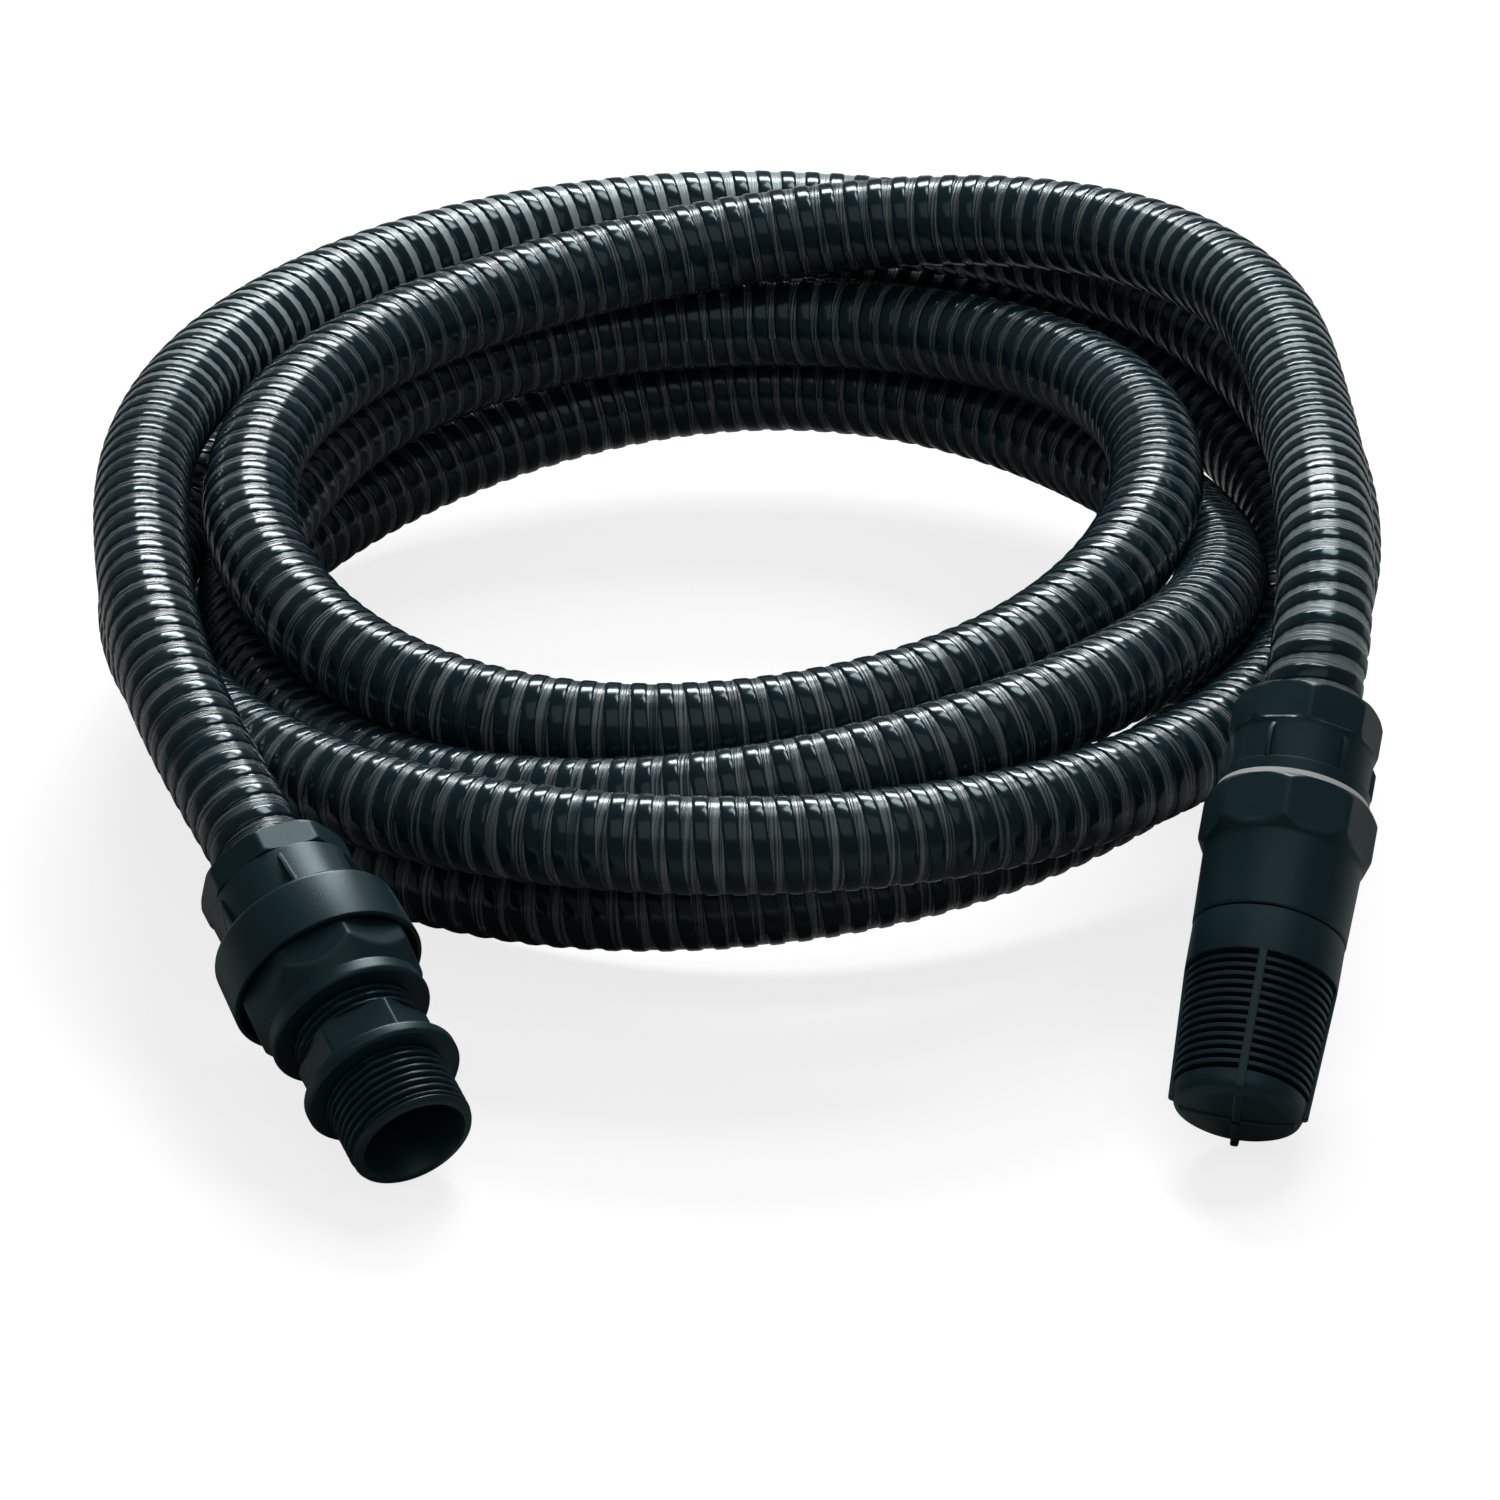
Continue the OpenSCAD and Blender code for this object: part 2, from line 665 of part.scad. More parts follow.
module strainer_basket() {
    color("darkslategray") at_foot() {
        difference() {
            translate([0, 0, strainer_z]) cylinder(r = strainer_r, h = strainer_collar_len);
            translate([0, 0, strainer_z - 1]) cylinder(r = snap_r + running, h = snap_len + 1.5);
            translate([0, 0, strainer_z]) cylinder(r = strainer_r - ring_inset - ring_w, h = strainer_collar_len + 1);
        }
        for (k = [0 : rings - 1]) {
            z = rings_z + ring_pitch - ring_t + k * ring_pitch;
            r = fin_r(z) - ring_inset;
            translate([0, 0, z]) ring(r, r - ring_w, ring_t);
        }
        intersection() {
            rotate_extrude()
                polygon([
                    [strainer_r - ring_inset - ring_w, rings_z - 1], [strainer_r, rings_z - 1],
                    [strainer_r, rings_z], [fin_end_r, cap_end_z],
                    [cap_r - 3, cap_end_z], [fin_end_r - ring_inset - ring_w, cap_z]
                ]);
            for (k = [0, 1])
                rotate([0, 0, fin_turn + 90 * k])
                    translate([-strainer_r - 1, -fin_w / 2, rings_z - 1])
                        cube([2 * strainer_r + 2, fin_w, cap_end_z - rings_z + 1]);
        }
        translate([0, 0, cap_z])
            rotate_extrude()
                polygon([
                    [0, 0], [cap_r, 0], [cap_r, cap_len - 1], [cap_r - 0.6, cap_len],
                    [cap_face_r, cap_len], [cap_face_r - 1.5, cap_len + cap_face_h * 0.6],
                    [0, cap_len + cap_face_h]
                ]);
    }
}

hose_coil();
hose_lead_pump();
hose_lead_foot();
pump_clamp_nut();
pump_grip_washer();
pump_hose_seal();
pump_body();
adapter_gasket();
screw_adapter();
nipple_seal();
thread_nipple();
foot_clamp_nut();
foot_grip_ring();
foot_hose_seal();
foot_washer();
valve_body();
valve_guide();
valve_spring();
valve_poppet();
poppet_facing();
valve_seat();
strainer_basket();
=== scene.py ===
"""Looks of a coiled spiral hose with a screw-on pump connector and a foot valve with a strainer.

Everything is in metres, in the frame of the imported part: +Z is up, the floor is z = 0, the coil lies
behind the two fittings. Each fitting is shaped on its own axis, z = 0 where the hose enters, and
then laid on the line that its part has in the frame.
"""

import math

import bmesh
import bpy
import numpy as np
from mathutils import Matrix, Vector


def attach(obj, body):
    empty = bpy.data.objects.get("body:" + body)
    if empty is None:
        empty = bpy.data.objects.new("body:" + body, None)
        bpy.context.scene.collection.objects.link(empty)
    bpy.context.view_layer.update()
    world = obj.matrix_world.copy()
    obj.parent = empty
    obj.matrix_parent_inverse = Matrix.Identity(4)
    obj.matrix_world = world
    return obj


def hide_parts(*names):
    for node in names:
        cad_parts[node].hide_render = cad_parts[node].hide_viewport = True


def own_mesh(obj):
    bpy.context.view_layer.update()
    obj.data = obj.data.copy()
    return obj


bl_info = {
    "name": "Coiled suction hose",
    "version": (1, 0, 0),
    "blender": (4, 5, 0),
    "location": "3D View > Sidebar > Suction Hose",
    "description": "Builds the looks of a coiled spiral hose with its pump connector and foot valve",
    "category": "Object",
}

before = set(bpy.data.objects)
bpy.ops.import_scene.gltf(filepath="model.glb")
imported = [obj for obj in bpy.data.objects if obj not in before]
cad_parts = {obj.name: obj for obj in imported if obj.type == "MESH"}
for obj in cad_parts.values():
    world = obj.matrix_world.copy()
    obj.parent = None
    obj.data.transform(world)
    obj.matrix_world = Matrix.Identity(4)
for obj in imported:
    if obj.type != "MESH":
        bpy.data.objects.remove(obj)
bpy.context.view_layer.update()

TAU = 2 * math.pi


# ---------------------------------------------------------------- sizes and colours

def distance(name, description, default):
    """A size that the panel shows"""
    return bpy.props.FloatProperty(
        name=name, description=description, default=default, subtype="DISTANCE", precision=5)


def colour(name, description, default):
    """A colour that the panel shows"""
    return bpy.props.FloatVectorProperty(
        name=name, description=description, default=default, subtype="COLOR", size=3, min=0, max=1)


class HoseSizes(bpy.types.PropertyGroup):
    """Sizes of the spiral hose"""
    diameter: distance("Diameter", "Outside diameter over the spiral", 0.026)
    wall_diameter: distance("Wall diameter", "Diameter of the clear wall between the turns", 0.0251)
    bore: distance("Bore", "Inside diameter", 0.020)
    length: distance("Length", "Length of the hose along its middle line", 4.5)
    pitch: distance("Pitch", "Distance from one turn of the spiral to the next", 0.0070)
    spiral_width: distance("Spiral width", "Width of the hard spiral along the hose", 0.0043)
    spiral_height: distance("Spiral height", "Height of the hard spiral's bar", 0.0016)


class FittingSizes(bpy.types.PropertyGroup):
    """Sizes of the two fittings that the looks add"""
    edge: distance("Edge rounding", "Rounding of moulded edges", 0.0005)
    thread_pitch: distance("Thread pitch", "Pitch of the one inch pipe thread", 0.002309)
    thread_depth: distance("Thread depth", "Depth of the one inch pipe thread", 0.00148)


class Colours(bpy.types.PropertyGroup):
    """Colours of the hose and its fittings"""
    spiral: colour("Spiral", "Hard spiral of the hose", (0.0042, 0.0160, 0.0215))
    clear_wall: colour("Clear wall", "Smoky wall between the turns", (0.004, 0.017, 0.023))
    wall_streak: colour("Wall streaks", "Paler lines round the smoky wall", (0.210, 0.245, 0.255))
    # Painted backlight: a pale colour put on some turns of the wall, where light from behind would shine
    # through
    painted_backlight_colour: colour("Painted backlight", "Pale colour painted where light from behind would shine through the wall", (0.48, 0.575, 0.585))
    fitting: colour("Fittings", "Black plastic of both fittings", (0.0062, 0.0230, 0.0295))
    washer: colour("Washer", "Pale washer of the foot valve", (0.82, 0.83, 0.81))
    rubber: colour("Rubber", "Seals and gaskets", (0.012, 0.012, 0.012))
    inner_plastic: colour("Valve plastic", "Grey plastic of the valve's inner pieces", (0.22, 0.23, 0.24))
    steel: colour("Spring steel", "Wire of the valve spring", (0.62, 0.63, 0.64))


# ---------------------------------------------------------------- where the fittings lie

class Fitting:
    """A fitting's own axis: z runs from the hose end to the open end, x points to the upper side."""

    def __init__(self, end, dip, heading, length, rest_radius):
        dip, heading = math.radians(dip), math.radians(heading)
        self.axis = np.array([
            math.cos(dip) * math.cos(heading), math.cos(dip) * math.sin(heading), -math.sin(dip)])
        self.up = np.array([
            math.sin(dip) * math.cos(heading), math.sin(dip) * math.sin(heading), math.cos(dip)])
        self.side = np.cross(self.axis, self.up)
        tip = np.array([end[0], end[1], rest_radius * math.cos(dip)])
        self.start = tip - length * self.axis

    def place(self, points):
        """Points of the fitting's own frame, in the part's frame"""
        points = np.asarray(points, float).reshape(-1, 3)
        return self.start + points @ np.array([self.up, self.side, self.axis])

    def on_axis(self, z):
        """The point of the axis at z"""
        return self.start + z * self.axis


PUMP = Fitting(end=(-0.095, -0.055), dip=21.3, heading=-63.8, length=0.0946, rest_radius=0.01662)
FOOT = Fitting(end=(0.1135, -0.040), dip=35.5, heading=-103, length=0.1157, rest_radius=0.018)


# ---------------------------------------------------------------- how the hose lies

COIL_MIDDLE = (-0.006, 0.199)
PLACES_A_TURN, STEPS_A_PLACE = 8, 12

# The coil as it was laid: radius and height of the hose's middle line in hose diameters, eight places
# to a turn, clockwise from the left: left, back left, back, back right, right, front right, front,
# front left
LAY = (
    ((6.5, 3.1), (6.3, 3.1), (6.4, 3.0), (6.3, 3.0), (5.8, 2.4), (6.4, 2.1), (7.1, 2.45), (6.78, 2.0)),
    ((6.5, 1.6), (6.5, 1.6), (6.7, 2.0), (6.4, 1.9), (5.5, 1.5), (5.0, 1.1), (5.2, 0.8), (5.7, 0.5)),
    ((6.1, 0.5), (5.9, 0.7), (5.6, 1.5), (4.65, 1.5), (4.53, 2.0), (5.6, 3.1), (6.0, 2.4), (5.9, 1.5)),
    ((5.4, 1.5), (5.6, 2.2), (5.2, 2.2), (4.4, 2.8), (4.1, 3.1), (4.1, 2.6), (4.5, 2.4), (5.3, 2.2)),
    ((5.6, 3.0), (5.0, 3.0), (4.9, 3.3), (5.7, 4.0), (5.5, 4.1)),
)
# The leads as the part has them: from the pump connector to the coil, and from the coil to the foot valve
PUMP_LEAD = (
    (-0.146, 0.049, 0.059), (-0.154, 0.066, 0.064), (-0.162, 0.088, 0.069), (-0.169, 0.115, 0.074),
    (-0.173, 0.150, 0.078),
)
FOOT_LEAD = (
    (0.139, 0.186, 0.105), (0.140, 0.162, 0.107), (0.141, 0.138, 0.1085), (0.141, 0.116, 0.108),
    (0.141, 0.095, 0.104), (0.140, 0.078, 0.098),
)
# How far the hose goes into each fitting
PUMP_STOP, FOOT_STOP = 0.023, 0.0287


def eased_values(values, steps):
    """A smooth run of numbers held by the given ones"""
    held = np.concatenate([[2 * values[0] - values[1]], values, [2 * values[-1] - values[-2]]])
    t = np.linspace(0, 1, steps, endpoint=False)
    run = [
        ((1 - t) ** 3 * a + (3 * t**3 - 6 * t**2 + 4) * b
         + (1 + 3 * t + 3 * t**2 - 3 * t**3) * c + t**3 * d) / 6
        for a, b, c, d in zip(held, held[1:], held[2:], held[3:])
    ]
    return np.concatenate(run + [[values[-1]]])


def through_points(points, steps=10):
    """A smooth line through the given points"""
    p = np.asarray(points, float)
    q = np.vstack([2 * p[0] - p[1], p, 2 * p[-1] - p[-2]])
    t = np.linspace(0, 1, steps, endpoint=False)[:, None]
    line = [
        0.5 * (2 * b + (c - a) * t + (2 * a - 5 * b + 4 * c - d) * t**2 + (3 * b - a - 3 * c + d) * t**3)
        for a, b, c, d in zip(q, q[1:], q[2:], q[3:])
    ]
    return np.vstack(line + [p[-1:]])


def even_steps(points, step):
    """The same line in even steps"""
    along = np.concatenate([[0], np.cumsum(np.linalg.norm(np.diff(points, axis=0), axis=1))])
    at = np.linspace(0, along[-1], int(round(along[-1] / step)) + 1)
    return np.stack([np.interp(at, along, points[:, k]) for k in range(3)], 1)


def coil_line(diameter):
    """The coil's middle line, wound through the places of LAY"""
    places = np.array([place for turn in LAY for place in turn])
    radius = eased_values(places[:, 0], STEPS_A_PLACE) * diameter
    height = eased_values(places[:, 1], STEPS_A_PLACE) * diameter
    angle = math.pi - TAU * np.linspace(0, (len(places) - 1) / PLACES_A_TURN, len(radius))
    return np.stack([
        COIL_MIDDLE[0] + radius * np.cos(angle), COIL_MIDDLE[1] + radius * np.sin(angle), height], 1)


def seated(line, fitting, begins=0.030, run=0.020, near=0.02):
    """The line, drawn straight onto the fitting's axis where it goes through the clamp nut. It begins
    that far behind the fitting, is straight after that run, and only moves what is near the axis."""
    z = (line - fitting.start) @ fitting.axis
    off = line - (fitting.start + z[:, None] * fitting.axis)
    t = np.clip((z + begins) / run, 0, 1) * (np.linalg.norm(off, axis=1) < near)
    return line - off * (t * t * (3 - 2 * t))[:, None]


def hose_line(diameter, step=0.002):
    """The hose's middle line, from its stop in the pump connector to its stop in the foot valve"""
    coil = coil_line(diameter)
    behind, ahead, span = 0.010, 6, 10
    pump_side = [PUMP.on_axis(z) for z in (PUMP_STOP, 0, -behind)] + list(PUMP_LEAD) + [coil[0], coil[ahead]]
    foot_side = [coil[-ahead - 1], coil[-1]] + list(FOOT_LEAD)
    foot_side += [FOOT.on_axis(z) for z in (-behind, 0, FOOT_STOP)]
    line = np.vstack([
        through_points(pump_side, span)[:-span - 1], even_steps(coil, 0.005),
        through_points(foot_side, span)[span + 1:]])
    line = even_steps(line, step)
    # A weighted mean along the line takes out its last unevenness
    reach, spread = 30, 0.018
    weight = np.exp(-0.5 * (np.arange(-reach, reach + 1) * step / spread) ** 2)
    weight /= weight.sum()
    padded_line = np.vstack([2 * line[0] - line[reach:0:-1], line, 2 * line[-1] - line[-2:-reach - 2:-1]])
    line = np.stack([np.convolve(padded_line[:, k], weight, "valid") for k in range(3)], 1)
    return even_steps(seated(seated(line, PUMP), FOOT), step)


# ---------------------------------------------------------------- mesh helpers

TOUCH = 1e-6


def new_piece(name, points, faces, material, smooth_angle=35):
    """A mesh object of the part, smooth except at edges sharper than smooth_angle"""
    mesh = bpy.data.meshes.new(name)
    mesh.from_pydata([tuple(p) for p in points], [], faces)
    mesh.polygons.foreach_set("use_smooth", [True] * len(mesh.polygons))
    mesh.set_sharp_from_angle(angle=math.radians(smooth_angle))
    mesh.validate()
    mesh.materials.append(material)
    piece = bpy.data.objects.new(name, mesh)
    bpy.context.scene.collection.objects.link(piece)
    return piece


def eased_corners(profile, size, beyond=None):
    """The profile, given as (z, r) points, with each corner cut back to a small round. Its last point
    is a corner too if there is one beyond it."""
    if beyond is not None:
        return eased_corners(profile + [beyond], size)[:-1]
    out = []
    for i, here in enumerate(profile):
        if i in (0, len(profile) - 1):
            out.append(here)
            continue
        p, before, after = (np.array(v, float) for v in (here, profile[i - 1], profile[i + 1]))
        back, on = before - p, after - p
        most = 0.45  # of a side, so that two rounds never meet
        reach = min(size, np.linalg.norm(back) * most, np.linalg.norm(on) * most)
        a, b = p + back / np.linalg.norm(back) * reach, p + on / np.linalg.norm(on) * reach
        out += [tuple((1 - t) ** 2 * a + 2 * t * (1 - t) * p + t**2 * b) for t in (0, 0.33, 0.67, 1)]
    return out


def close_steps(profile, step):
    """The profile with its long runs split, so that flats can be cut into it"""
    out = [profile[0]]
    for (z0, r0), (z1, r1) in zip(profile, profile[1:]):
        n = max(1, int(math.ceil(math.hypot(z1 - z0, r1 - r0) / step)))
        out += [(z0 + (z1 - z0) * k / n, r0 + (r1 - r0) * k / n) for k in range(1, n + 1)]
    return out


def round_angles(count=96):
    return np.linspace(0, TAU, count, endpoint=False)


def flat_angles(flats, turn, each=20):
    """Angles round a piece with flats, closer together at the corners"""
    crowding = 0.6
    even = np.linspace(0, 1, each, endpoint=False)
    t = crowding * (0.5 - 0.5 * np.cos(math.pi * even)) + (1 - crowding) * even
    return np.concatenate([math.radians(turn) + TAU * (k + t) / flats for k in range(flats)])


def soft_min(a, b, ease):
    """The lesser of two numbers, with a smooth passage where they cross"""
    h = np.clip(0.5 + 0.5 * (b - a) / ease, 0, 1)
    return b * (1 - h) + a * h - ease * h * (1 - h)


def flats_radius(angle, corner_r, flats, turn, ease):
    """Radius of a regular block with eased corners, in the given directions"""
    sector = TAU / flats
    off = np.mod(angle - math.radians(turn), sector) - sector / 2
    apothem = corner_r * math.cos(sector / 2)
    this, other = apothem / np.cos(off), apothem / np.cos(sector - np.abs(off))
    return soft_min(this, other, ease)


def turned(name, fitting, outer, inner, material, angles=None, shape=None, smooth_angle=35, step=None):
    """A piece turned on a fitting's axis: outer runs from the rear to the front, inner back again.
    A point with r = 0 closes the piece on its axis. shape(angle, z, r) changes the outer radius."""
    angles = round_angles() if angles is None else angles
    if step:
        outer = close_steps(outer, step)
    rows = [(z, r, True) for z, r in outer] + [(z, r, False) for z, r in inner]
    ring = len(angles)
    points, start = [], []
    for z, r, is_outer in rows:
        start.append((len(points), r > TOUCH))
        if r <= TOUCH:
            points.append((0, 0, z))
            continue
        radius = np.broadcast_to(shape(angles, z, r) if shape and is_outer else r, ring)
        points += [(rr * math.cos(a), rr * math.sin(a), z) for rr, a in zip(radius, angles)]
    faces = []
    count = len(rows)
    solid = rows[0][1] <= TOUCH or rows[-1][1] <= TOUCH
    for i in range(count - 1 if solid else count):
        (a, a_ring), (b, b_ring) = start[i], start[(i + 1) % count]
        for k in range(ring):
            j = (k + 1) % ring
            if a_ring and b_ring:
                faces.append((a + k, a + j, b + j, b + k))
            elif a_ring:
                faces.append((a + k, a + j, b))
            elif b_ring:
                faces.append((a, b + j, b + k))
    return new_piece(name, fitting.place(points), faces, material, smooth_angle)


def plate(name, fitting, outline, turn, thickness, material, ease=0.0003):
    """A thin rib: its outline in (r, z) stands on the axis plane that is turned by turn degrees"""
    c, s = math.cos(math.radians(turn)), math.sin(math.radians(turn))
    points, faces = [], []
    n = len(outline)
    middle = np.mean(np.array(outline), axis=0)
    for offset, shrink in ((-thickness / 2, True), (-thickness / 2 + ease, False),
                           (thickness / 2 - ease, False), (thickness / 2, True)):
        for r, z in outline:
            if shrink:
                d = np.array([r, z]) - middle
                r, z = middle + d * (1 - ease / max(np.linalg.norm(d), ease * 2))
            points.append((r * c - offset * s, r * s + offset * c, z))
    for layer in range(3):
        for k in range(n):
            j = (k + 1) % n
            a, b = layer * n, (layer + 1) * n
            faces.append((a + k, a + j, b + j, b + k))
    faces.append(tuple(reversed(range(n))))
    faces.append(tuple(3 * n + k for k in range(n)))
    piece = new_piece(name, fitting.place(points), faces, material, smooth_angle=30)
    face_outwards(piece)
    return piece


def face_outwards(piece):
    """Turns the faces of a closed shell outwards"""
    shape = bmesh.new()
    shape.from_mesh(piece.data)
    bmesh.ops.recalc_face_normals(shape, faces=shape.faces)
    shape.to_mesh(piece.data)
    shape.free()


def joined(name, pieces):
    """Several meshes as one piece, each still a closed shell"""
    points, faces, base = [], [], 0
    material = pieces[0].data.materials[0]
    for piece in pieces:
        points += [tuple(v.co) for v in piece.data.vertices]
        faces += [tuple(base + i for i in f.vertices) for f in piece.data.polygons]
        base = len(points)
    for piece in pieces:
        mesh = piece.data
        bpy.data.objects.remove(piece)
        bpy.data.meshes.remove(mesh)
    return new_piece(name, points, faces, material, smooth_angle=32)


# ---------------------------------------------------------------- nodes

def socket(tree, kind, name, direction, value=None):
    """A named input or output of a node group"""
    made = tree.interface.new_socket(name=name, in_out=direction, socket_type=kind)
    if value is not None:
        made.default_value = value


def feed(node, inputs):
    """Gives each input a value or a link. A node stands for its first output."""
    for name, value in inputs.items():
        if isinstance(value, bpy.types.Node):
            value = value.outputs[0]
        if isinstance(value, bpy.types.NodeSocket):
            node.id_data.links.new(value, node.inputs[name])
        else:
            node.inputs[name].default_value = value


def new_node(tree, kind, inputs=None, **settings):
    """A new node with its own settings and its inputs"""
    node = tree.nodes.new(kind)
    for name, value in settings.items():
        setattr(node, name, value)
    feed(node, inputs or {})
    return node


def ramp(tree, value, low, high, first=0.0, last=1.0, kind="LINEAR"):
    """A number that goes from first to last while value goes from low to high"""
    return new_node(tree, "ShaderNodeMapRange", {
        "Value": value, "From Min": low, "From Max": high, "To Min": first, "To Max": last},
        interpolation_type=kind)


def mixed_colour(tree, share, start, end):
    """The colour start, turning into the colour end as share goes from 0 to 1"""
    node = new_node(tree, "ShaderNodeMix", {"Factor": share, "A": start, "B": end}, data_type="RGBA")
    return node.outputs["Result"]


# ---------------------------------------------------------------- materials

def moulded_surface():
    """Shader group: the fine unevenness of moulded plastic, as a roughness and a height"""
    name = "Moulded surface"
    if name in bpy.data.node_groups:
        return bpy.data.node_groups[name]
    tree = bpy.data.node_groups.new(name, "ShaderNodeTree")
    for label, value in (
            ("Roughness", 0.4), ("Variation", 0.1), ("Grain scale", 2500.0), ("Patch scale", 90.0)):
        socket(tree, "NodeSocketFloat", label, "INPUT", value)
    for label in ("Roughness", "Height"):
        socket(tree, "NodeSocketFloat", label, "OUTPUT")
    inlet = new_node(tree, "NodeGroupInput").outputs
    place = new_node(tree, "ShaderNodeTexCoord").outputs["Object"]
    grain, patch = (
        new_node(tree, "ShaderNodeTexNoise", {"Vector": place, "Scale": inlet[scale], "Detail": 3.0})
        for scale in ("Grain scale", "Patch scale"))
    centred = new_node(tree, "ShaderNodeMath", {0: patch.outputs["Fac"], 1: 0.5}, operation="SUBTRACT")
    spread = new_node(
        tree, "ShaderNodeMath", {0: centred, 1: inlet["Variation"], 2: inlet["Roughness"]},
        operation="MULTIPLY_ADD")
    new_node(tree, "NodeGroupOutput", {"Roughness": spread, "Height": grain.outputs["Fac"]})
    return tree


def plastic(name, shade, roughness, variation=0.08, grain=0.00002, metallic=0.0, coat_roughness=0.05,
            specular=0.5, tint=(1, 1, 1), patch_scale=90.0):
    """A moulded or drawn material with the shared surface unevenness"""
    if name in bpy.data.materials:
        return bpy.data.materials[name]
    material = bpy.data.materials.new(name)
    material.use_nodes = True
    tree = material.node_tree
    uneven = new_node(
        tree, "ShaderNodeGroup", {"Roughness": roughness, "Variation": variation, "Patch scale": patch_scale},
        node_tree=moulded_surface())
    bump = new_node(tree, "ShaderNodeBump", {"Distance": grain, "Height": uneven.outputs["Height"]})
    feed(tree.nodes["Principled BSDF"], {
        "Base Color": (*shade, 1), "Metallic": metallic, "Specular IOR Level": specular,
        "Specular Tint": (*tint, 1), "Coat Roughness": coat_roughness,
        "Roughness": uneven.outputs["Roughness"], "Normal": bump})
    return material


def colours():
    """The colours that the panel shows"""
    return bpy.context.scene.hose_colours


def fitting_plastic():
    return plastic(
        "Black fitting plastic", colours().fitting, roughness=0.36, variation=0.12, grain=0.00004,
        specular=0.38, tint=(0.66, 0.93, 1.0))


def spiral_plastic():
    return plastic(
        "Hard black spiral", colours().spiral, roughness=0.15, variation=0.10, grain=0.00001, specular=0.45,
        tint=(0.72, 0.94, 1.0), patch_scale=160.0)


# Turns of the spiral, counted from the pump end, where pale backlight is painted on the wall: it begins,
# is at its fullest, is that until, is gone and the wall smoky again, and how strong it is
PAINTED_BACKLIGHT_TURNS = ((28, 42, 64, 86, 0.75), (596, 622, 655, 670, 0.40))


def clear_wall_plastic():
    """Smoky soft wall, with fine pale lines round it and a painted backlight on some turns. It is a little
    more open where it faces the eye.
    """
    name = "Smoky clear wall"
    if name in bpy.data.materials:
        return bpy.data.materials[name]
    shades = colours()
    material = plastic(
        name, shades.clear_wall, roughness=0.27, variation=0.12, coat_roughness=0.2, specular=0.6,
        tint=(0.78, 0.95, 1.0), patch_scale=220.0)
    tree = material.node_tree
    # U counts the spiral's turns and V goes round the hose once, so the lines run round it
    around = new_node(tree, "ShaderNodeTexCoord").outputs["UV"]
    stretched = new_node(tree, "ShaderNodeMapping", {"Vector": around, "Scale": (13.0, 1.2, 1.0)})
    lines = new_node(
        tree, "ShaderNodeTexNoise", {"Vector": stretched, "Scale": 1.0, "Detail": 2.0}).outputs["Fac"]
    streak = ramp(tree, lines, 0.44, 0.66)
    streaked = mixed_colour(tree, streak, (*shades.clear_wall, 1), (*shades.wall_streak, 1))
    along = new_node(tree, "ShaderNodeSeparateXYZ", {0: around}).outputs["X"]
    # Painted backlight: on the listed turns the colour goes pale, standing in for light from behind shining
    # through the wall
    backlight_share = 0.0
    for begins, fullest, until, smoky, amount in PAINTED_BACKLIGHT_TURNS:
        rise = ramp(tree, along, begins, fullest, 0.0, amount, "SMOOTHSTEP")
        fall = ramp(tree, along, until, smoky, 1.0, 0.0, "SMOOTHSTEP")
        backlight_share = new_node(
            tree, "ShaderNodeMath", {0: rise, 1: fall, 2: backlight_share}, operation="MULTIPLY_ADD")
    drawn = new_node(tree, "ShaderNodeBump", {
        "Distance": 0.0006, "Height": lines, "Normal": tree.nodes["Bump"]})
    facing = new_node(tree, "ShaderNodeLayerWeight", {"Blend": 0.4}).outputs["Facing"]
    between_lines, in_lines = 0.92, 0.8
    cover = ramp(tree, streak, 0.0, 1.0, between_lines, in_lines)
    # The base colour takes the painted backlight on those turns
    feed(tree.nodes["Principled BSDF"], {
        "Base Color": mixed_colour(tree, backlight_share, streaked, (*shades.painted_backlight_colour, 1)),
        "Coat Weight": streak, "Normal": drawn, "Alpha": ramp(tree, facing, 0.0, 1.0, cover, 1.0)})
    return material


# ---------------------------------------------------------------- the hose

def wall_tube(line, outer_r, inner_r, turns_a_step, sides=24):
    """Points, faces and UVs of the clear wall: an outer and an inner skin, joined at both ends. U counts
    the spiral's turns along the hose and V goes round it once."""
    ahead = np.gradient(line, axis=0)
    ahead /= np.linalg.norm(ahead, axis=1)[:, None]
    across = np.cross(ahead[0], (0, 0, 1.0))
    frames = []
    for direction in ahead:
        across = across - direction * (across @ direction)
        across /= np.linalg.norm(across)
        frames.append((across, np.cross(direction, across)))
    angle = round_angles(sides)
    ring = np.stack([np.cos(angle), np.sin(angle)], 1)
    u, v = np.array([f[0] for f in frames]), np.array([f[1] for f in frames])
    spokes = ring[None, :, :1] * u[:, None] + ring[None, :, 1:] * v[:, None]
    outer = (line[:, None] + outer_r * spokes).reshape(-1, 3)
    inner = (line[:, None] + inner_r * spokes).reshape(-1, 3)
    count, faces, places = len(line), [], []
    inside = count * sides
    for i in range(count - 1):
        u0, u1 = i * turns_a_step, (i + 1) * turns_a_step
        for k in range(sides):
            a, b = i * sides + k, i * sides + (k + 1) % sides
            v0, v1 = k / sides, (k + 1) / sides
            faces.append((a, b, b + sides, a + sides))
            faces.append((inside + a, inside + a + sides, inside + b + sides, inside + b))
            places += [u0, v0, u0, v1, u1, v1, u1, v0, u0, v0, u1, v0, u1, v1, u0, v1]
    last = (count - 1) * sides
    for k in range(sides):
        j = (k + 1) % sides
        faces.append((k, inside + k, inside + j, j))
        faces.append((last + k, last + j, inside + last + j, inside + last + k))
        places += [0.0, 0.0] * 8  # two faces with four corners each
    return np.vstack([outer, inner]), faces, places


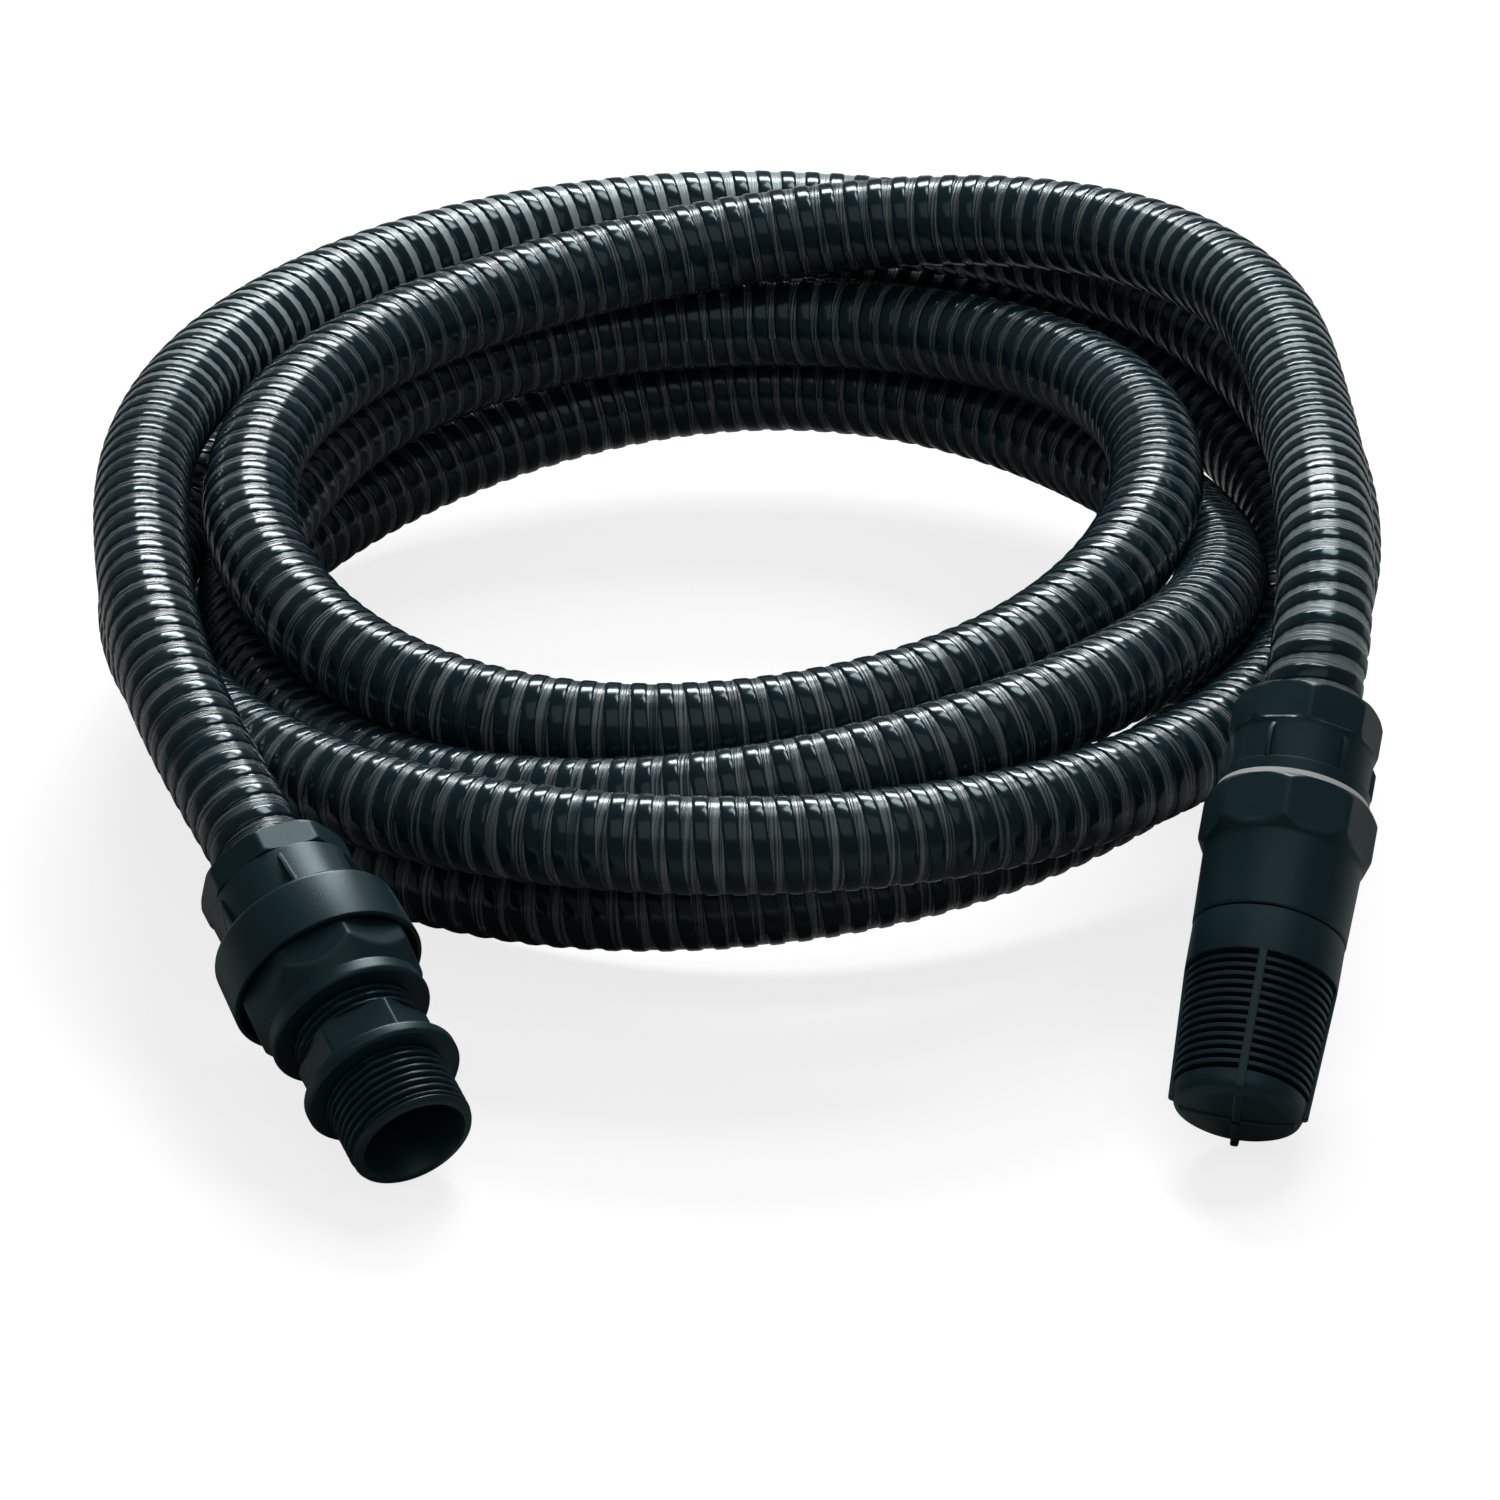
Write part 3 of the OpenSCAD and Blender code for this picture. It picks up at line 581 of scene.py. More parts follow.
def spiral_tree():
    """Geometry Nodes: a rounded bar wound round a line, cut to a part of its length"""
    name = "Hard spiral"
    if name in bpy.data.node_groups:
        return bpy.data.node_groups[name]
    tree = bpy.data.node_groups.new(name, "GeometryNodeTree")
    socket(tree, "NodeSocketGeometry", "Line", "INPUT")
    for label, value in (
            ("Bar radius on the hose", 0.0123), ("Pitch", 0.007), ("Bar width", 0.0042),
            ("Bar height", 0.0014), ("From", 0.0), ("To", 1.0), ("Squareness", 0.5)):
        socket(tree, "NodeSocketFloat", label, "INPUT", value)
    socket(tree, "NodeSocketInt", "Sides of a turn", "INPUT", 26)
    socket(tree, "NodeSocketMaterial", "Material", "INPUT")
    socket(tree, "NodeSocketGeometry", "Spiral", "OUTPUT")
    inlet = new_node(tree, "NodeGroupInput").outputs

    def number(operation, *values):
        return new_node(tree, "ShaderNodeMath", dict(enumerate(values)), operation=operation)

    def vector(operation, inputs):
        return new_node(tree, "ShaderNodeVectorMath", inputs, operation=operation)

    # The line in even steps, and the way out from it at each step as the bar goes round
    curve = new_node(tree, "GeometryNodeMeshToCurve", {0: inlet["Line"]})
    untwisted = new_node(tree, "GeometryNodeSetCurveNormal", {"Curve": curve}, mode="MINIMUM_TWIST")
    step = number("DIVIDE", inlet["Pitch"], inlet["Sides of a turn"])
    stepped = new_node(tree, "GeometryNodeResampleCurve", {"Curve": untwisted, "Length": step}, mode="LENGTH")
    along = new_node(tree, "GeometryNodeSplineParameter").outputs["Length"]
    turn = number("MULTIPLY", number("DIVIDE", along, inlet["Pitch"]), TAU)
    normal = new_node(tree, "GeometryNodeInputNormal")
    tangent = new_node(tree, "GeometryNodeInputTangent")
    binormal = vector("CROSS_PRODUCT", {0: tangent, 1: normal})
    outwards = vector("ADD", {
        0: vector("SCALE", {0: normal, "Scale": number("COSINE", turn)}),
        1: vector("SCALE", {0: binormal, "Scale": number("SINE", turn)})})
    kept = new_node(tree, "GeometryNodeCaptureAttribute")
    kept.capture_items.new("VECTOR", "Outwards")
    feed(kept, {"Geometry": stepped, "Outwards": outwards})
    way_out = kept.outputs["Outwards"]
    wound = new_node(tree, "GeometryNodeSetPosition", {
        "Geometry": kept.outputs["Geometry"],
        "Offset": vector("SCALE", {0: way_out, "Scale": inlet["Bar radius on the hose"]})})
    start, end = 2, 3  # the factor inputs of Trim Curve, which share their names with the lengths
    cut = new_node(tree, "GeometryNodeTrimCurve", {"Curve": wound, start: inlet["From"], end: inlet["To"]})
    facing = new_node(tree, "GeometryNodeSetCurveNormal", {"Curve": cut, "Normal": way_out}, mode="FREE")

    # The bar's outline: a ring whose points are drawn out towards a square, then sized
    ring = new_node(tree, "GeometryNodeCurvePrimitiveCircle", {"Resolution": 12, "Radius": 1.0})
    half_a_side = math.radians(15)
    ring = new_node(tree, "GeometryNodeTransform", {"Geometry": ring, "Rotation": (0, 0, half_a_side)})
    place = new_node(tree, "ShaderNodeSeparateXYZ", {0: new_node(tree, "GeometryNodeInputPosition")}).outputs
    squared = new_node(tree, "ShaderNodeCombineXYZ", {
        axis: number("MULTIPLY", number("POWER", number("ABSOLUTE", place[axis]), inlet["Squareness"]),
                     number("SIGN", place[axis]))
        for axis in ("X", "Y")})
    outline = new_node(tree, "GeometryNodeSetPosition", {"Geometry": ring, "Position": squared})
    size = new_node(tree, "ShaderNodeCombineXYZ", {
        "X": number("DIVIDE", inlet["Bar height"], 2.0), "Y": number("DIVIDE", inlet["Bar width"], 2.0),
        "Z": 1.0})
    outline = new_node(tree, "GeometryNodeTransform", {"Geometry": outline, "Scale": size})

    bar = new_node(tree, "GeometryNodeCurveToMesh", {
        "Curve": facing, "Profile Curve": outline, "Fill Caps": True})
    real = new_node(tree, "GeometryNodeRealizeInstances", {0: bar})
    finish = new_node(tree, "GeometryNodeSetMaterial", {"Geometry": real, "Material": inlet["Material"]})
    new_node(tree, "NodeGroupOutput", {0: finish})
    return tree


def set_inputs(modifier, **values):
    """Sets a Geometry Nodes modifier's inputs by their names"""
    for item in modifier.node_group.interface.items_tree:
        key = item.name.lower().replace(" ", "_")
        if item.item_type == "SOCKET" and item.in_out == "INPUT" and key in values:
            modifier[item.identifier] = values[key]


def grown(carrier, name):
    """The carrier's modifier result as a plain mesh piece; the carrier goes"""
    bpy.context.view_layer.update()
    seen = carrier.evaluated_get(bpy.context.evaluated_depsgraph_get())
    mesh = bpy.data.meshes.new_from_object(seen)
    mesh.name = name
    bpy.data.objects.remove(carrier)
    piece = bpy.data.objects.new(name, mesh)
    bpy.context.scene.collection.objects.link(piece)
    mesh.polygons.foreach_set("use_smooth", [True] * len(mesh.polygons))
    face_outwards(piece)
    return piece


def wound_bar(name, line, middle_r, pitch, width, height, material, start=0.0, end=1.0, squareness=0.5):
    """A bar wound round the line from one share of its length to another, as a plain mesh piece"""
    mesh = bpy.data.meshes.new("wound line")
    mesh.from_pydata([tuple(p) for p in line], [(i, i + 1) for i in range(len(line) - 1)], [])
    carrier = bpy.data.objects.new("wound line", mesh)
    bpy.context.scene.collection.objects.link(carrier)
    modifier = carrier.modifiers.new("Hard spiral", "NODES")
    modifier.node_group = spiral_tree()
    set_inputs(
        modifier, bar_radius_on_the_hose=middle_r, pitch=pitch, bar_width=width, bar_height=height,
        material=material, squareness=squareness, **{"from": start, "to": end})
    return grown(carrier, name)


class HOSE_OT_lay(bpy.types.Operator):
    """Lay the hose: its clear wall and the hard spiral on it"""
    bl_idname = "suction_hose.lay"
    bl_label = "Lay the hose"

    def execute(self, context):
        sizes = context.scene.hose_sizes
        line = hose_line(sizes.diameter)
        step, smooth_angle = 0.0035, 60
        tube_line = even_steps(line, step)
        points, faces, places = wall_tube(
            tube_line, sizes.wall_diameter / 2, sizes.bore / 2, step / sizes.pitch)
        wall = new_piece("hose_wall", points, faces, clear_wall_plastic(), smooth_angle)
        wall.data.uv_layers.new(name="along and around").data.foreach_set("uv", places)
        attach(wall, "hose")
        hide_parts("hose_coil", "hose_lead_pump", "hose_lead_foot")
        parts = 3
        middle_r = (sizes.diameter - sizes.spiral_height) / 2
        for k in range(parts):
            spiral = wound_bar(
                f"hose_spiral_{k + 1}", line, middle_r, sizes.pitch, sizes.spiral_width,
                sizes.spiral_height, spiral_plastic(), k / parts, (k + 1) / parts)
            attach(spiral, "hose")
        return {"FINISHED"}


# ---------------------------------------------------------------- sizes that several pieces share

OCTAGON, HEXAGON = 8, 6
HOSE_HOLE_R = 0.0134
SPIGOT_R, SPIGOT_BORE_R, SPIGOT_Z = 0.0093, 0.0078, 0.0030
WATER_R = 0.0130
THREAD_R, THREAD_HOLE_R = 0.01662, 0.01668


# ---------------------------------------------------------------- pump connector

class HOSE_OT_pump_nut(bpy.types.Operator):
    """Make the pump connector's clamp nut with its threaded stem"""
    bl_idname = "suction_hose.pump_nut"
    bl_label = "Pump clamp nut"

    def execute(self, context):
        ease = context.scene.fitting_sizes.edge
        corner, turn, length, stem_r, stem_end = 0.0205, 22, 0.0075, 0.0164, 0.0155
        rear_run, rear_cut, front_run, front_cut, rounding = 0.0014, 0.0009, 0.0008, 0.0006, 0.0003
        outer = eased_corners([
            (0, HOSE_HOLE_R), (0, corner - rear_cut), (rear_run, corner), (length - front_run, corner),
            (length, corner - front_cut), (length, stem_r), (stem_end, stem_r)],
            rounding, (stem_end, HOSE_HOLE_R))

        def shape(angle, z, r):
            return soft_min(flats_radius(angle, corner, OCTAGON, turn, ease), r, ease * 0.5)

        nut = turned(
            "pump_clamp_nut_look", PUMP, outer, [(stem_end, HOSE_HOLE_R)], fitting_plastic(),
            flat_angles(OCTAGON, turn), shape, step=0.0005)
        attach(nut, "pump_nut")
        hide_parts("pump_clamp_nut")
        return {"FINISHED"}


class HOSE_OT_pump_body(bpy.types.Operator):
    """Make the pump connector's body: neck, gusset ribs, collar and the spigot in the hose"""
    bl_idname = "suction_hose.pump_body"
    bl_label = "Pump connector body"

    def execute(self, context):
        material = fitting_plastic()
        neck_z, neck_r, neck_bore_r, hose_stop = 0.0078, 0.01986, 0.01646, 0.0234
        collar_z, end_z, rear_r, lip_r = 0.0225, 0.0388, 0.0253, 0.0260
        rear_run, rear_cut = 0.0010, 0.0006
        cup_z, cup_r, socket_z, rounding = 0.0338, 0.0247, 0.0259, 0.0006
        outer = eased_corners([
            (neck_z, neck_bore_r), (neck_z, neck_r), (collar_z, neck_r), (collar_z, rear_r - rear_cut),
            (collar_z + rear_run, rear_r), (end_z, lip_r)], rounding, (end_z, cup_r))
        inner = [
            (end_z, cup_r), (cup_z, cup_r), (cup_z, THREAD_HOLE_R), (socket_z, THREAD_HOLE_R),
            (socket_z, SPIGOT_BORE_R), (SPIGOT_Z, SPIGOT_BORE_R), (SPIGOT_Z, SPIGOT_R), (hose_stop, SPIGOT_R),
            (hose_stop, neck_bore_r)]
        body = turned("pump_body_shell", PUMP, outer, inner, material)
        count, first_turn, thickness, ease = 6, 13, 0.0012, 0.00025
        sunk, low_z, low_r, top_r = 0.0008, neck_z + 0.0022, neck_r + 0.0004, rear_r - 0.0019
        gusset = [
            (neck_r - sunk, low_z), (low_r, low_z), (top_r, collar_z + 0.0002), (top_r, collar_z + sunk),
            (neck_r - sunk, collar_z + sunk)]
        gussets = [
            plate(f"gusset_{k}", PUMP, gusset, first_turn + k * 360 / count, thickness, material, ease)
            for k in range(count)]
        body = joined("pump_body_look", [body] + gussets)
        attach(body, "hose")
        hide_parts("pump_body")
        return {"FINISHED"}


class HOSE_OT_adapter(bpy.types.Operator):
    """Make the octagon adapter between the body and the thread nipple"""
    bl_idname = "suction_hose.adapter"
    bl_label = "Octagon adapter"

    def execute(self, context):
        ease = context.scene.fitting_sizes.edge
        corner, turn, rounding = 0.0244, 0, 0.0005
        rear, nut_z, lip_z, end, bore_z = 0.0279, 0.0341, 0.0501, 0.0546, 0.0424
        rear_run, rear_cut, front_run = 0.005, 0.0036, 0.0066
        nut_front_r, lip_rear_r, lip_r, lip_edge_r, lip_run = 0.0208, 0.0214, 0.0218, 0.0212, 0.0008
        outer = eased_corners([
            (rear, WATER_R), (rear, THREAD_R), (nut_z, THREAD_R), (nut_z, corner - rear_cut),
            (nut_z + rear_run, corner), (lip_z - front_run, corner), (lip_z, nut_front_r),
            (lip_z, lip_rear_r), (end - lip_run, lip_r), (end, lip_edge_r)], rounding, (end, THREAD_HOLE_R))

        def shape(angle, z, r):
            if z < nut_z - TOUCH or z > lip_z + TOUCH:
                return r
            return soft_min(flats_radius(angle, corner, OCTAGON, turn, ease), r, ease * 0.6)

        adapter = turned(
            "screw_adapter_look", PUMP, outer,
            [(end, THREAD_HOLE_R), (bore_z, THREAD_HOLE_R), (bore_z, WATER_R)], fitting_plastic(),
            flat_angles(OCTAGON, turn), shape, step=0.0006)
        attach(adapter, "adapter")
        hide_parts("screw_adapter")
        return {"FINISHED"}


class HOSE_OT_nipple(bpy.types.Operator):
    """Make the nipple: two runs of pipe thread, a hexagon neck and a flange"""
    bl_idname = "suction_hose.nipple"
    bl_label = "Thread nipple"

    def execute(self, context):
        sizes = context.scene.fitting_sizes
        pitch, depth = sizes.thread_pitch, sizes.thread_depth
        rear, neck, flange, thread, plain, mouth = 0.0444, 0.0606, 0.0716, 0.0756, 0.0931, 0.0946
        corner, turn, neck_r, flange_r = 0.0181, -11, 0.0152, 0.0210
        run, cut, rounding = 0.0008, 0.0006, 0.0003
        rear_step, front_step, front_gap = 0.0002, 0.00018, 0.0003
        outer = [(rear, WATER_R), (rear, THREAD_R)]
        outer += [(z, THREAD_R) for z in np.arange(rear + rear_step, neck - rear_step / 2, rear_step)]
        outer += eased_corners([
            (neck, THREAD_R - 0.0004), (neck, corner - cut), (neck + run, corner), (flange - 0.0003, corner),
            (flange, corner), (flange, flange_r - cut), (flange + run, flange_r), (thread - run, flange_r),
            (thread, flange_r - cut), (thread, THREAD_R - depth), (thread + 0.0002, THREAD_R - depth)],
            rounding)
        outer += [(z, THREAD_R) for z in np.arange(thread + front_gap, plain, front_step)]
        # The plain end, by how far it lies under the thread's crest
        outer += [(z, THREAD_R - under) for z, under in (
            (plain, 0.0004), (plain + 0.0003, 0.0003), (mouth - 0.0004, 0.0007), (mouth, 0.0012))]

        def thread_radius(angle, z):
            phase = np.mod(z / pitch - angle / TAU, 1)
            height = np.clip(0.5 + 0.75 * np.cos(TAU * phase), 0, 1)
            run_in, run_out = 0.0012, 0.0008
            fade = np.clip(min((z - thread) / run_in, (plain - z) / run_out), 0, 1) if z > thread else 1
            return THREAD_R - depth + depth * height * fade

        def shape(angle, z, r):
            if rear + TOUCH < z < neck - TOUCH or thread + front_gap - TOUCH < z < plain - TOUCH:
                return thread_radius(angle, z)
            if neck - TOUCH <= z < flange - TOUCH and r > THREAD_R - 0.0003:
                flats = flats_radius(angle, corner, HEXAGON, turn, sizes.edge)
                return np.maximum(soft_min(flats, r, sizes.edge * 0.5), neck_r)
            return r

        bore_run = 0.0012
        nipple = turned(
            "thread_nipple_look", PUMP, outer, [(mouth, WATER_R + 0.0010), (mouth - bore_run, WATER_R)],
            fitting_plastic(), flat_angles(HEXAGON, turn, 22), shape, smooth_angle=40)
        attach(nipple, "nipple")
        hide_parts("thread_nipple")
        return {"FINISHED"}


# ---------------------------------------------------------------- foot valve

class HOSE_OT_foot_nut(bpy.types.Operator):
    """Make the foot valve's clamp nut with its skirt"""
    bl_idname = "suction_hose.foot_nut"
    bl_label = "Foot valve clamp nut"

    def execute(self, context):
        ease = context.scene.fitting_sizes.edge
        corner, turn, length, skirt_r, skirt_bore_r = 0.0198, -9, 0.0260, 0.0196, 0.0173
        rear_run, rear_cut, flats_z, flats_end, rounding = 0.002, 0.0012, 0.0095, 0.012, 0.0005
        band_z, band_step, wall, cone_r, round_r = 0.0225, 0.0008, 0.0030, 0.0144, 0.0205
        outer = eased_corners([
            (0, HOSE_HOLE_R), (0, corner - rear_cut), (rear_run, corner), (flats_z, corner),
            (flats_end, corner - 0.0010), (band_z, skirt_r - band_step), (band_z, skirt_r),
            (length, skirt_r)], rounding, (length, skirt_bore_r))

        def shape(angle, z, r):
            if z > flats_end + 0.0004:
                return r
            flats = flats_radius(angle, corner, OCTAGON, turn, ease)
            fade_z, fade_run = 0.0105, 0.0019
            blend = np.clip((z - fade_z) / fade_run, 0, 1)
            return soft_min(flats * (1 - blend) + round_r * blend, r, ease * 0.6)

        nut = turned(
            "foot_nut_shell", FOOT, outer,
            [(length, skirt_bore_r), (flats_end, skirt_bore_r), (wall, cone_r), (wall, HOSE_HOLE_R)],
            fitting_plastic(), flat_angles(OCTAGON, turn), shape, step=0.0005)
        count, first_turn, thickness = 6, 18, 0.0014
        inner_r, outer_r, front_r = 0.0182, 0.0199, 0.0193
        rib = [(inner_r, 0.0115), (outer_r, 0.0145), (outer_r, 0.0215), (front_r, 0.0231), (inner_r, 0.0231)]
        ribs = [
            plate(f"skirt_rib_{k}", FOOT, rib, first_turn + k * 360 / count, thickness, fitting_plastic())
            for k in range(count)]
        nut = joined("foot_clamp_nut_look", [nut] + ribs)
        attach(nut, "foot_nut")
        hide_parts("foot_clamp_nut")
        return {"FINISHED"}


class HOSE_OT_foot_body(bpy.types.Operator):
    """Make the foot valve's body: octagon, barrel and the two spigots"""
    bl_idname = "suction_hose.foot_body"
    bl_label = "Foot valve body"

    def execute(self, context):
        ease = context.scene.fitting_sizes.edge
        corner, turn, rounding = 0.0228, -4.5, 0.0006
        rear, nut_z, barrel_z, snap, end = 0.0120, 0.0280, 0.0440, 0.0650, 0.0755
        thread_r, barrel_rear_r, barrel_front_r, snap_r, round_r = 0.01724, 0.0206, 0.0200, 0.0178, 0.0215
        rear_run, rear_cut, front_run = 0.002, 0.0016, 0.004
        chamber_z, chamber_r, hose_stop = 0.0320, 0.0140, 0.0290
        pocket_r, pocket_z = 0.0155, 0.0200
        outer = eased_corners([
            (rear, pocket_r), (rear, thread_r), (nut_z, thread_r), (nut_z, corner - rear_cut),
            (nut_z + rear_run, corner), (barrel_z - front_run, corner), (barrel_z, barrel_rear_r),
            (snap, barrel_front_r), (snap, snap_r), (end, snap_r)], rounding, (end, chamber_r))

        def shape(angle, z, r):
            if not nut_z - TOUCH < z < barrel_z + 0.001:
                return r
            flats = flats_radius(angle, corner, OCTAGON, turn, ease)
            fade_z, fade_run = 0.003, 0.004
            blend = np.clip((z - barrel_z + fade_z) / fade_run, 0, 1)
            return soft_min(flats * (1 - blend) + round_r * blend, r, ease * 0.6)

        body = turned(
            "valve_body_look", FOOT, outer,
            [(end, chamber_r), (chamber_z, chamber_r), (chamber_z, SPIGOT_BORE_R), (SPIGOT_Z, SPIGOT_BORE_R),
             (SPIGOT_Z, SPIGOT_R), (hose_stop, SPIGOT_R), (hose_stop, HOSE_HOLE_R), (pocket_z, HOSE_HOLE_R),
             (pocket_z, pocket_r)],
            fitting_plastic(), flat_angles(OCTAGON, turn), shape, step=0.0006)
        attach(body, "hose")
        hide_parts("valve_body")
        return {"FINISHED"}


class HOSE_OT_strainer(bpy.types.Operator):
    """Make the strainer: collar, rings, fins and end cap"""
    bl_idname = "suction_hose.strainer"
    bl_label = "Strainer"

    def execute(self, context):
        material = fitting_plastic()
        collar_z, collar_r, collar_bore_r, collar_stop, lip_r = 0.0653, 0.0198, 0.01786, 0.0763, 0.0166
        rings_z, count, pitch, thick, width, inset = 0.0778, 13, 0.0024, 0.0012, 0.0031, 0.0008
        cap_z, cap_end, end_r, cap_rounding = 0.1102, 0.1157, 0.0180, 0.0006

        def fin_edge(z):
            return collar_r + (end_r - collar_r) * (z - rings_z) / (cap_end - rings_z)

        collar = turned(
            "collar", FOOT,
            eased_corners([(collar_z, collar_bore_r), (collar_z, collar_r), (rings_z, collar_r)], 0.0005,
                          (rings_z, lip_r)),
            [(rings_z, lip_r), (collar_stop, lip_r), (collar_stop, collar_bore_r)], material)
        parts = [collar]
        for k in range(count):
            z = rings_z + pitch - thick + k * pitch
            r = fin_edge(z) - inset
            parts.append(turned(
                f"ring_{k}", FOOT,
                eased_corners([(z, r - width), (z, r), (z + thick, r)], 0.0003, (z + thick, r - width)),
                [(z + thick, r - width)], material, round_angles(72)))
        # The cap's domed face, given from its end
        dome = ((-0.0022, 0.0170), (-0.0004, 0.0163), (0.0008, 0.0140), (0.0015, 0.0075), (0.0017, 0.0))
        cap = [(cap_z, 0), (cap_z, 0.0172)] + [(cap_end + z, r) for z, r in dome]
        parts.append(turned("cap", FOOT, eased_corners(cap, cap_rounding), [], material))
        # The fins run on over the cap as a cross. One tip is level, one stands out and two are cut back.
        root, fin_z, fin_w, fin_ease = 0.0010, 0.0010, 0.0022, 0.0004
        for turn, tip in ((-7, 0.0), (83, -0.0012), (173, 0.0016), (263, -0.0012)):
            outline = [
                (fin_edge(rings_z) - 0.0032, rings_z - fin_z), (collar_r - 0.0002, rings_z - fin_z),
                (collar_r, rings_z), (fin_edge(cap_end - 0.0006), cap_end - 0.0006 + min(tip, 0)),
                (end_r - 0.0004 - 0.75 * max(tip, 0), cap_end - 0.0002 + tip),
                (0.0158, cap_end + 0.0002 + tip), (0.0148, cap_end + 0.0012), (0.0070, cap_end + 0.0022),
                (root, cap_end + 0.0023), (root, cap_z + fin_z), (end_r - inset - width, cap_z + fin_z)]
            parts.append(plate(f"fin_{turn}", FOOT, outline, turn, fin_w, material, fin_ease))
        strainer = joined("strainer_look", parts)
        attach(strainer, "strainer")
        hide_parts("strainer_basket")
        return {"FINISHED"}


class HOSE_OT_inner_pieces(bpy.types.Operator):
    """Give the seals, gaskets, washer and the valve's inner pieces their finishes, and wind the spring"""
    bl_idname = "suction_hose.inner_pieces"
    bl_label = "Seals and valve pieces"

    def execute(self, context):
        shades = colours()
        white = plastic("Pale washer", shades.washer, roughness=0.45)
        rubber = plastic("Black rubber", shades.rubber, roughness=0.65, variation=0.1, grain=0.00006)
        grey = plastic("Grey valve plastic", shades.inner_plastic, roughness=0.38)
        steel = plastic(
            "Spring steel", shades.steel, roughness=0.25, variation=0.1, grain=0.00001, metallic=1.0)
        for material, slot, names in (
            (white, "white_plastic", ("foot_washer", "pump_grip_washer", "foot_grip_ring")),
            (rubber, "black_rubber", ("pump_hose_seal", "adapter_gasket", "nipple_seal", "foot_hose_seal",
                                      "poppet_facing")),
            (grey, "grey_plastic", ("valve_guide", "valve_poppet", "valve_seat")),
        ):
            for name in names:
                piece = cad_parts[name]
                piece.data.materials.clear()
                piece.data.materials.append(material)
        rear, front, turns, wire, middle_r, lift = 0.0366, 0.0591, 5, 0.0010, 0.0054, 0.006
        ends = (rear + wire / 2, front - wire / 2)
        line = [FOOT.on_axis(z) for z in np.linspace(*ends, 9)]
        pitch = (ends[1] - ends[0]) / turns
        spring = wound_bar("valve_spring_look", line, middle_r, pitch, wire, wire, steel, squareness=1.0)
        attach(spring, "hose")
        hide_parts("valve_spring")
        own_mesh(spring)
        return {"FINISHED"}


# ---------------------------------------------------------------- stage

def turned_to(piece, place, target):
    """Puts a lamp or a camera at its place, looking at the target"""
    piece.location = place
    piece.rotation_euler = (Vector(target) - Vector(place)).to_track_quat("-Z", "Y").to_euler()
    bpy.context.scene.collection.objects.link(piece)


def softbox(name, azimuth, elevation, away, width, height, radiance, target=(0, 0.15, 0.04)):
    """A soft lamp that faces the object; azimuth is from straight ahead of the camera, to its right"""
    a, e = math.radians(azimuth), math.radians(elevation)
    out = Vector((math.sin(a) * math.cos(e), math.cos(a) * math.cos(e), math.sin(e)))
    lamp = bpy.data.lights.new(name, "AREA")
    lamp.shape = "RECTANGLE"
    lamp.size, lamp.size_y = width, height
    lamp.energy = radiance * math.pi * width * height
    turned_to(bpy.data.objects.new(name, lamp), Vector(target) + away * out, target)


